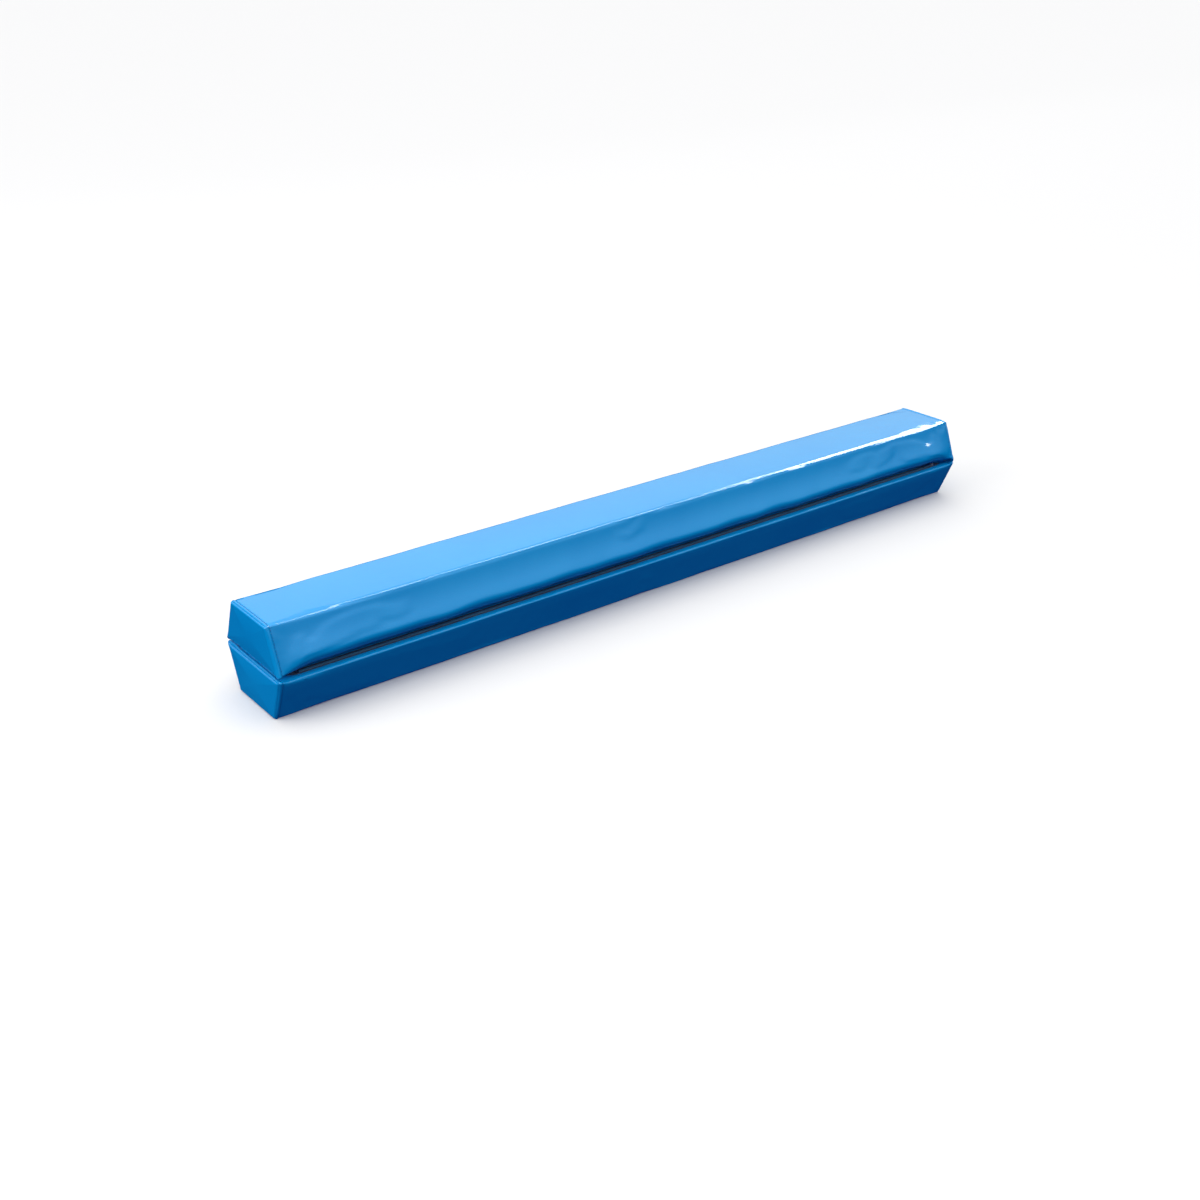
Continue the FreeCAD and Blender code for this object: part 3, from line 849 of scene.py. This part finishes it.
# %% Sew the two skins
covers = {}
skins = {}
for section, facts in SECTIONS.items():
    settled = skin_grid(STATIONS, **facts["cut"]) + settle(f"{section}_bag", facts)
    settled[..., 2] = np.minimum(settled[..., 2], CROWN_TOP)
    skin = dress_skin(settled, facts["seed"])
    if section == "lower":
        skin[..., 2] = np.maximum(skin[..., 2], 0.0)
    covers[section] = settled
    skins[section] = skin
    print(section, "skin", [round(float(skin[..., axis].max()) / MM, 1) for axis in range(3)])

# %% Wrap and base panels
for section, skin in skins.items():
    for part, columns in (
        ("wrap_panel", slice(0, SEAM_INDEX + 1)),
        ("base_panel", slice(SEAM_INDEX, None)),
    ):
        points, faces = shell(skin[:, columns], CLOTH)
        section_piece(section, part, "cloth", points, faces, "vinyl")

# %% [markdown]
# ## End panels
#
# Each end is a trapezoid of the same cloth, sewn in round its edge. The seam holds its rim, and the
# foam pushes its middle out a little. So it is built from rings: the outline drawn smaller and
# smaller, each ring further out than the last, like the contour lines of a low hill.

# %% Rings of an end panel
RIM_CUSHION = 1.0 * MM
END_DOME = 2.5 * MM
DOME_REACH = 24
END_MIDDLE = np.array([0.0, EDGE_HEIGHT * 0.53])
MIDDLE_REACH = 40 * MM
RIM_STEPS = (0.0, 0.3, 0.7, 1.1, 1.5, 2.0, 2.7, 3.5, 4.4, 5.5)
FACE_SCALES = (0.93, 0.86, 0.76, 0.64, 0.5, 0.34, 0.16)
FACE_REACH = 30
RIM_LIP = 0.35 * MM
RIM_PUCKER = 0.06 * MM
RIM_PUCKER_REACH = 6


def resample(points, count):
    """Points evenly spaced along a line of points."""
    steps = np.linalg.norm(np.diff(points, axis=0), axis=1)
    walked = np.concatenate([[0.0], np.cumsum(steps)])
    even = np.linspace(0, walked[-1], count)
    return np.stack([np.interp(even, walked, points[:, axis]) for axis in range(points.shape[1])], 1)


def ring_inset(ring, depth):
    """A closed ring of (y, z) points moved towards its inside."""
    along = np.roll(ring, -1, 0) - np.roll(ring, 1, 0)
    along /= np.maximum(np.linalg.norm(along, axis=1, keepdims=True), 1e-12)
    sideways = np.stack([-along[:, 1], along[:, 0]], 1)
    if np.sum(sideways * (END_MIDDLE - ring)) < 0:
        sideways = -sideways
    return ring + sideways * depth


def towards_middle(ring, depth):
    """Moved in squarely near the rim, and then towards the middle, so that no corner folds over."""
    square = min(depth, RIM_CUSHION)
    moved = ring_inset(ring, square)
    return moved + (END_MIDDLE - moved) * (depth - square) / MIDDLE_REACH


def puffed(distance):
    """How much of the dome has risen this many millimetres in from the rim: steepest at the rim."""
    return 1 - (1 - min(distance / DOME_REACH, 1)) ** 2


def end_panel_rings(rim, seed):
    """Rings from the rim to the middle: how far out each point is, and its y and z."""
    count = len(rim)
    draw = random.Random(seed)
    steps = np.linalg.norm(np.diff(rim, axis=0), axis=1)
    turn = np.concatenate([[0.0], np.cumsum(steps)])
    turn *= 2 * math.pi / (turn[-1] + np.linalg.norm(rim[0] - rim[-1]))
    pucker = np.zeros(count)
    for _ in range(4):
        pucker += np.sin(turn * draw.randint(20, 46) + draw.uniform(0, 6.28))
    rings = []
    for step in RIM_STEPS:
        inset, below = roll(step)
        pinch = SEAM_PINCH * math.exp(-step / SEAM_PINCH_REACH)
        lift = END_DOME * puffed(step) - (below + pinch) * MM
        lift = lift + RIM_LIP * hump(step, 2.8, 1.2)
        lift = lift + pucker * RIM_PUCKER * math.exp(-step / RIM_PUCKER_REACH) * min(step, 1.0)
        flat = towards_middle(rim, inset * MM)
        ring = np.column_stack([HALF_LENGTH + lift + np.zeros(count), flat])
        rings.append(ring + dog_ears(ring, np.full(count, step)) - (HALF_LENGTH, 0, 0))
    last = rings[-1]
    start_lift = END_DOME * puffed(RIM_STEPS[-1])
    for scale in FACE_SCALES:
        lift = END_DOME - (END_DOME - start_lift) * scale**2
        walked = RIM_STEPS[-1] + FACE_REACH * (1 - scale)
        fade = pucker * RIM_PUCKER * math.exp(-walked / RIM_PUCKER_REACH)
        flat = END_MIDDLE + (last[:, 1:] - END_MIDDLE) * scale
        rings.append(np.column_stack([lift + fade, flat]))
    return np.stack(rings)


def closed_panel(rings, sign):
    """A closed sheet from rings, on the end that faces sign along X."""
    rows, columns = rings.shape[:2]
    outer = rings.copy()
    outer[..., 0] = sign * (HALF_LENGTH + rings[..., 0])
    outer = outer.reshape(-1, 3)
    back = np.array([sign * CLOTH, 0, 0])
    count = len(outer)
    faces = tube_faces(rows, columns)
    faces += [tuple(index + count for index in quad[::-1]) for quad in faces]
    last = (rows - 1) * columns
    for column in range(columns):
        following = (column + 1) % columns
        faces.append((following, column, column + count, following + count))
        faces.append((last + column, last + following, 2 * count))
        faces.append((last + following + count, last + column + count, 2 * count + 1))
    tip = outer[last:].mean(0)
    points = np.concatenate([outer, outer - back, [tip, tip - back]])
    if sign < 0:
        faces = [face[::-1] for face in faces]
    return points, faces


for section, facts in SECTIONS.items():
    for end, sign in (("open", -1), ("hinge", 1)):
        outline = skin_grid(np.array([sign * HALF_LENGTH]), facts["seed"])[0][:, 1:]
        rings = end_panel_rings(outline, facts["seed"] + END_PANEL_SEED + sign)
        points, faces = closed_panel(rings, sign)
        section_piece(section, f"{end}_end_panel", "cloth", points, faces, "vinyl")

# %% [markdown]
# ## Foam planks
#
# Each section is two planks of foam laid one on the other. They are hidden by the cover, but they
# are real pieces, and an open zip would show them. A loft through closed loops fits them: the loops
# come from the cover's own outline, moved in by two millimetres, so foam never shows through vinyl.

# %% Lofted planks
PLANK_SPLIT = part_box("lower_tread_foam_plank")[1].z
FOAM_INSET = 2.0 * MM
FOAM_FROM_END = 3.5 * MM
TAPE_ROOM = 1.6 * MM
TAPE_BED = (-73.5 * MM, -46 * MM)
TAPE_BED_SLOPE = 2 * MM
PLANK_GAP = 0.02 * MM
PLANK_ROW_STEP = 4
LONG_LINE_POINTS = 44
SHORT_LINE_POINTS = 22


def loft(loops):
    """Points and faces of a solid through loops, with flat caps."""
    rows, columns = loops.shape[:2]
    faces = tube_faces(rows, columns)
    faces.append(tuple(range(columns - 1, -1, -1)))
    faces.append(tuple((rows - 1) * columns + column for column in range(columns)))
    return loops.reshape(-1, 3), faces


def plank_loops(outline):
    """The (y, z) loops of the tread plank and the base plank at one station."""
    inside = ring_inset(outline, FOAM_INSET)
    inside[0], inside[-1] = outline[0] - (0, FOAM_INSET), outline[-1] - (0, FOAM_INSET)
    near_zip = smooth_step((inside[:, 0] - TAPE_BED[0]) / TAPE_BED_SLOPE)
    near_zip *= smooth_step((TAPE_BED[1] - inside[:, 0]) / TAPE_BED_SLOPE)
    inside[:, 1] -= TAPE_ROOM * near_zip * (inside[:, 1] > PLANK_SPLIT)
    low = inside[:, 1] < PLANK_SPLIT
    first = int(np.argmax(low))
    last = len(low) - 1 - int(np.argmax(low[::-1]))

    def crossing(here, there):
        share = (PLANK_SPLIT - inside[here, 1]) / (inside[there, 1] - inside[here, 1])
        return inside[here] + (inside[there] - inside[here]) * share

    enter, leave = crossing(first - 1, first), crossing(last, last + 1)
    tread = np.concatenate([[enter], inside[first : last + 1], [leave]])
    above_zip = np.concatenate([inside[:first], [enter]])
    above_back = np.concatenate([[leave], inside[last + 1 :]])
    base = [resample(above_zip, SHORT_LINE_POINTS), resample(above_back, LONG_LINE_POINTS)]
    return resample(tread, LONG_LINE_POINTS) - (0, PLANK_GAP), np.concatenate(base) + (0, PLANK_GAP)


for section, facts in SECTIONS.items():
    plain = skin_grid(STATIONS, **facts["cut"])
    planks = {"tread": [], "base": []}
    inner_rows = np.flatnonzero(HALF_LENGTH - np.abs(STATIONS) > FOAM_FROM_END)
    for row in [*inner_rows[::PLANK_ROW_STEP], inner_rows[-1]]:
        for plank, loop in zip(planks, plank_loops(plain[row, :, 1:])):
            planks[plank].append(np.column_stack([np.full(len(loop), STATIONS[row]), loop]))
    for plank, loops in planks.items():
        points, faces = loft(np.stack(loops))
        section_piece(section, f"{plank}_foam_plank", "core", points, faces, "foam")

# %% [markdown]
# ## The zip
#
# A coil zip is two woven tapes, each with a nylon spiral sewn along its edge. Closed, the loops of
# one spiral sit between the loops of the other, and the zip looks like a plait. The tapes are thin
# sheets that follow the cover just below it. Each loop is a short bent tube that rises from its
# tape, crosses the middle and dips again, and the two sides are half a pitch apart.

# %% Heights of the cover above the zip
ZIP_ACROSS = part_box("lower_zip_edge_coil")[1].y
COIL_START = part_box("lower_zip_edge_coil")[0].x
COIL_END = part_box("lower_zip_edge_coil")[1].x
TAPE_DEPTH = 1.05 * MM
TAPE_THICKNESS = 0.5 * MM
TAPE_POINTS = (229, 9)


def base_heights(section, along, across):
    """How high the cover's base is at these places, in the section's own frame."""
    grid = covers[section]
    heights = []
    for row in grid:
        zip_side = row[: FLANGE_POINTS + 3][::-1]
        far_side = row[SEAM_INDEX:][::-1]
        line = np.concatenate([zip_side, far_side])
        heights.append(np.interp(across, line[:, 1], line[:, 2]))
    heights = np.stack(heights)
    return np.stack([np.interp(along, STATIONS, heights[:, column]) for column in range(len(across))], 1)


# %% Tapes
for section in SECTIONS:
    for tape in ("edge", "inner"):
        low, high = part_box(f"lower_zip_{tape}_tape")
        along = np.linspace(low.x, high.x, TAPE_POINTS[0])
        across = np.linspace(high.y, low.y, TAPE_POINTS[1])
        heights = base_heights(section, along, across) - TAPE_DEPTH
        grid = np.stack(np.broadcast_arrays(along[:, None], across, heights), 2)
        points, faces = shell(grid, TAPE_THICKNESS)
        section_piece(section, f"zip_{tape}_tape", "weave", points, faces, "tape")

# %% Coils
COIL_PITCH = 2.0 * MM
COIL_WIRE = 0.52 * MM
WIRE_FLATTENED = 1.35
# Millimetres across from the middle of the zip, and up from the tape.
LOOP_LINE = ((-2.45, 0.35), (-2.2, 1.05), (-1.2, 1.32), (-0.1, 1.24), (0.55, 0.95), (0.62, 0.35))
LOOP_SIDES = 6


def join(parts):
    """One mesh from many: all their points, and their faces counted on from part to part."""
    points, faces = [], []
    for more_points, more_faces in parts:
        start = len(points)
        points += list(more_points)
        faces += [tuple(start + index for index in face) for face in more_faces]
    return np.array(points), faces


def coil_side(section, side, offset):
    """All the loops of one spiral. Side is -1 for the edge tape and 1 for the inner tape."""
    along = np.arange(COIL_START + 1 * MM + offset, COIL_END - 0.6 * MM, COIL_PITCH)
    ground = base_heights(section, along, np.array([ZIP_ACROSS]))[:, 0] - TAPE_DEPTH
    line = np.array(LOOP_LINE) * MM
    angles = np.arange(LOOP_SIDES) / LOOP_SIDES * 2 * math.pi
    directions = np.gradient(line, axis=0)
    directions /= np.linalg.norm(directions, axis=1, keepdims=True)
    template = []
    for (across, up), (run, rise) in zip(line, directions):
        for angle in angles:
            wide, tall = math.cos(angle) * COIL_WIRE * WIRE_FLATTENED, math.sin(angle) * COIL_WIRE
            template.append((wide, across - rise * tall, up + run * tall))
    template, faces = loft(np.array(template).reshape(len(line), LOOP_SIDES, 3))
    template[:, 1] *= -side
    if side < 0:
        faces = [face[::-1] for face in faces]
    return join([(template + (place, ZIP_ACROSS, height), faces) for place, height in zip(along, ground)])


for section in SECTIONS:
    for coil, side, offset in (("edge", -1, 0.0), ("inner", 1, COIL_PITCH / 2)):
        points, faces = coil_side(section, side, offset)
        section_piece(section, f"zip_{coil}_coil", "loops", points, faces, "coil")

# %% [markdown]
# ## Metal parts
# The sliders, their pulls and the end stops keep the frame's own shapes, because those are already
# right. Only their material is changed here. A part from the frame must not be moved or reshaped, but its
# material may be changed.

# %% Nickel on the frame's metal parts
for name, part in frame["nodes"].items():
    if name.endswith(("_stop", "_zip_slider", "_zip_pull")):
        part.data.materials.clear()
        part.data.materials.append(MATERIALS["metal"])
        print("nickel on", name)

# %% [markdown]
# ## The hinge strip
#
# One strip of the cover's cloth joins the two sections at the far end. It is sewn to both end
# panels and bulges between them. It is the one piece that crosses the fold, so it is put on
# neither section.

# %% Strip across the fold
strip_low, strip_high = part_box("hinge_strip")
STRIP_POINTS = (74, 25)
STRIP_SEED = 91
STRIP_WAVE = 0.25 * MM


def strip_grid():
    """The strip's outer side: out of the end panels in the middle, and sewn down at both edges."""
    across = np.linspace(strip_low.y, strip_high.y, STRIP_POINTS[0])
    up = np.linspace(strip_low.z, strip_high.z, STRIP_POINTS[1])
    rise = (up - FOLD_Z) / (strip_high.z - FOLD_Z)
    bulge = (strip_high.x - strip_low.x - CLOTH) * (1 - smooth_step(np.abs(rise) / 0.9))
    wave = STRIP_WAVE * slow_wave(across, STRIP_SEED, 0.02, 0.06)
    out = strip_low.x + CLOTH + bulge[None, :] + wave[:, None] * (1 - rise[None, :] ** 2)
    return np.stack(np.broadcast_arrays(out, across[:, None], up), 2)


strip_points, strip_faces = shell(strip_grid(), CLOTH)
strip = mesh_piece("hinge_strip_cloth", strip_points, strip_faces, "vinyl", None, ["hinge_strip"])
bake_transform(strip)
print("hinge strip", len(strip_faces), "faces")

# %% [markdown]
# ## Stitches
#
# A row of top stitching is what the eye finds first at a seam. Each stitch is a short length of
# thread that lies on the cloth and dives into it at both ends. All the stitches of a row are one
# mesh, made by walking along the row and setting down the same small spindle at every step.

# %% Rows of stitches
STITCH_PITCH = 4.6 * MM
THREAD_RADIUS = 0.30 * MM
# Each ring of the spindle: its share of the pitch, its girth, and its height in millimetres.
STITCH_SHAPE = (
    (0.08, 0.35, -0.35),
    (0.2, 0.9, 0.05),
    (0.5, 1.0, 0.22),
    (0.8, 0.9, 0.05),
    (0.92, 0.35, -0.35),
)
STITCH_SIDES = 6
SLOT_ROW_STOPS = 8 * MM
SLOT_EDGE_POINTS = 8


def stitches(line, normals):
    """Spindles along a line of points on a surface with these outward normals."""
    spindles = []
    steps = np.linalg.norm(np.diff(line, axis=0), axis=1)
    walked = np.concatenate([[0.0], np.cumsum(steps)])
    count = int(walked[-1] / STITCH_PITCH)

    def sample(values, place):
        return np.array([np.interp(place, walked, values[:, axis]) for axis in range(3)])

    for index in range(count):
        start, finish = index * STITCH_PITCH, (index + 1) * STITCH_PITCH
        here, there = sample(line, start), sample(line, finish)
        forward = (there - here) / np.linalg.norm(there - here)
        outward = sample(normals, (start + finish) / 2)
        outward -= forward * outward.dot(forward)
        outward /= np.linalg.norm(outward)
        sideways = np.cross(forward, outward)
        points = []
        for share, girth, lift in STITCH_SHAPE:
            middle = sample(line, start + share * STITCH_PITCH) + outward * lift * MM
            for side in range(STITCH_SIDES):
                angle = side / STITCH_SIDES * 2 * math.pi
                spoke = sideways * math.cos(angle) + outward * math.sin(angle)
                points.append(middle + spoke * THREAD_RADIUS * girth)
        spindle, faces = loft(np.array(points).reshape(len(STITCH_SHAPE), STITCH_SIDES, 3))
        spindles.append((spindle, [face[::-1] for face in faces]))
    return join(spindles)


def skin_row_at(grid, place):
    """The outline of a skin at one place along X."""
    after = int(np.clip(np.searchsorted(STATIONS, place), 1, len(STATIONS) - 1))
    share = (place - STATIONS[after - 1]) / (STATIONS[after] - STATIONS[after - 1])
    return grid[after - 1] * (1 - share) + grid[after] * share


def column_at(grid, normals, from_slot, last):
    """The line along the beam that stays this far from a slot edge."""
    line, outward = [], []
    for row, row_normals in zip(grid, normals):
        points = (row[::-1] if last else row)[:SLOT_EDGE_POINTS]
        facing = (row_normals[::-1] if last else row_normals)[:SLOT_EDGE_POINTS]
        steps = np.linalg.norm(np.diff(points, axis=0), axis=1)
        walked = np.concatenate([[0.0], np.cumsum(steps)])
        line.append([np.interp(from_slot, walked, points[:, axis]) for axis in range(3)])
        outward.append([np.interp(from_slot, walked, facing[:, axis]) for axis in range(3)])
    return np.array(line), np.array(outward)


for section, facts in SECTIONS.items():
    grid = skins[section]
    normals = surface_normals(grid)
    thread = {"slot": [], "end": []}
    for last in (False, True):
        line, outward = column_at(grid, normals, SLOT_STITCH * MM, last)
        inside = np.abs(line[:, 0]) < HALF_LENGTH - SLOT_ROW_STOPS
        thread["slot"].append(stitches(line[inside], outward[inside]))
    for sign in (-1, 1):
        place = sign * (HALF_LENGTH - STITCH_FROM_END * MM)
        thread["end"].append(stitches(skin_row_at(grid, place), skin_row_at(normals, place)))
    for part, rows in thread.items():
        points, faces = join(rows)
        name = f"{section}_{part}_stitches"
        mesh_piece(name, facts["move"](points), faces, "thread", f"{section}_section")
        print(name, len(faces), "faces")

# %% [markdown]
# ## Floor and light
#
# A plain pale floor and a pale backdrop stand in for a studio. The real beam lies on a blue mat,
# which colours it from below. So the world glows blue under the horizon, and grows white and
# brighter towards the top. The floor and the backdrop are hidden from reflections and bounced
# light, so that they don't cover that glow.
#
# Vinyl is a soft mirror, so the lights are chosen for what it reflects. A bright panel beyond the
# far end and a strip over the beam run down the front tread edge as a broken white line. Both reach
# the upper cover only, as if a card shaded the lower one, whose zip edge should stay dark. A long, dim
# wall behind the beam is mirrored too, and a soft fill lights the open ends.

# %% Floor and backdrop
FLOOR_HALF = 60
BACKDROP_RADIUS = 56
BACKDROP_HEIGHT = 70
BACKDROP_SIDES = 96
HIDDEN_FROM = ("visible_diffuse", "visible_glossy")


def stage_piece(name, points, faces, hidden_from, **fixed):
    """A piece of the studio, with a plain material. Some kinds of ray don't see it."""
    mesh = bpy.data.meshes.new(name)
    mesh.from_pydata(points, [], faces)
    material, _, _ = new_material(f"{name}_paint", **fixed)
    mesh.materials.append(material)
    holder = bpy.data.objects.new(name, mesh)
    bpy.context.scene.collection.objects.link(holder)
    for kind in hidden_from:
        setattr(holder, kind, False)
    print(name, len(faces), "faces")


floor_points = [(x * FLOOR_HALF, y * FLOOR_HALF, 0) for x, y in ((-1, -1), (1, -1), (1, 1), (-1, 1))]
stage_piece(
    "floor", floor_points, [(0, 1, 2, 3)], HIDDEN_FROM, Base_Color=(0.84, 0.84, 0.84, 1), Roughness=0.8
)

backdrop_points = []
for height in (0, BACKDROP_HEIGHT):
    for turn in range(BACKDROP_SIDES):
        angle = turn / BACKDROP_SIDES * 2 * math.pi
        across, deep = BACKDROP_RADIUS * math.cos(angle), BACKDROP_RADIUS * math.sin(angle)
        backdrop_points.append((across, deep, height))
stage_piece(
    "backdrop",
    backdrop_points,
    tube_faces(2, BACKDROP_SIDES),
    HIDDEN_FROM + ("visible_transmission", "visible_shadow"),
    Base_Color=(0, 0, 0, 1),
    Specular_IOR_Level=0.0,
    Emission_Color=(0.90, 0.92, 0.94, 1),
    Emission_Strength=1.0,
)

# %% World
SKY_AT_HORIZON = 0.14
SKY_OVERHEAD = 1.95
SKY_CURVE = 1.5
GLOW_FROM_BELOW = (0.04, 0.17, 1.0, 1)
world = bpy.data.worlds.new("studio")
world.use_nodes = True
world_tree = world.node_tree
direction = world_tree.nodes.new("ShaderNodeTexCoord").outputs["Generated"]
height = add_node(world_tree, "ShaderNodeSeparateXYZ", Vector=direction).outputs["Z"]
over_horizon = map_range(world_tree, height, -0.04, 0.30, 0.0, 1.0)
tint = mix_colours(world_tree, over_horizon, GLOW_FROM_BELOW, (1, 1, 1, 1))
climb = world_tree.nodes.new("ShaderNodeMath")
climb.operation = "POWER"
world_tree.links.new(map_range(world_tree, height, 0.0, 1.0, 0.0, 1.0), climb.inputs[0])
climb.inputs[1].default_value = SKY_CURVE
brightness = map_range(world_tree, climb.outputs["Value"], 0.0, 1.0, SKY_AT_HORIZON, SKY_OVERHEAD)
world_tree.links.new(tint, world_tree.nodes["Background"].inputs["Color"])
world_tree.links.new(brightness, world_tree.nodes["Background"].inputs["Strength"])
bpy.context.scene.world = world
bpy.context.scene.view_settings.view_transform = "Standard"
print("world from", SKY_AT_HORIZON, "at the horizon to", SKY_OVERHEAD, "overhead")

# %% Lights
def add_panel_light(name, place, target, size, brightness, lights_up=True, only=None):
    """A rectangular light. Brightness is how bright its face looks, so a bigger one gives more.

    One that doesn't light up is there only to be mirrored in the vinyl. Only names the collection
    of pieces that it reaches, as a card held between the light and the rest would do.
    """
    light = bpy.data.lights.new(name, "AREA")
    light.shape = "RECTANGLE"
    light.size, light.size_y = size
    light.energy = brightness * math.pi * size[0] * size[1]
    holder = bpy.data.objects.new(name, light)
    bpy.context.scene.collection.objects.link(holder)
    aim = Vector(target) - Vector(place)
    holder.matrix_world = Matrix.Translation(place) @ aim.to_track_quat("-Z", "Y").to_matrix().to_4x4()
    holder.visible_camera = False
    holder.visible_diffuse = lights_up
    if only is not None:
        holder.light_linking.receiver_collection = only
    print(name, round(light.energy), "W at", place)


upper_cover = bpy.data.collections.new("upper_cover")
for piece in bpy.context.scene.objects:
    if piece.name.startswith("upper_") and piece.name.endswith(("_cloth", "_stitches")):
        upper_cover.objects.link(piece)

add_panel_light(
    "far_panel", (4.7, 0.1, 3.37), (0.4, 0.1, 0.13), (5.8, 1.8), 15.0, lights_up=False, only=upper_cover
)
add_panel_light(
    "edge_strip", (1.8, 0.02, 2.8), (1.8, 0.02, 0.0), (2.6, 0.7), 9.0, lights_up=False, only=upper_cover
)
add_panel_light("back_wall", (3.4, 4.2, 2.3), (3.4, 0, 2.3), (10.0, 2.4), 0.55, lights_up=False)
add_panel_light("open_end_fill", (-3.2, 0.6, 1.7), (-0.7, 0, 0.1), (2.4, 2.2), 2.3)
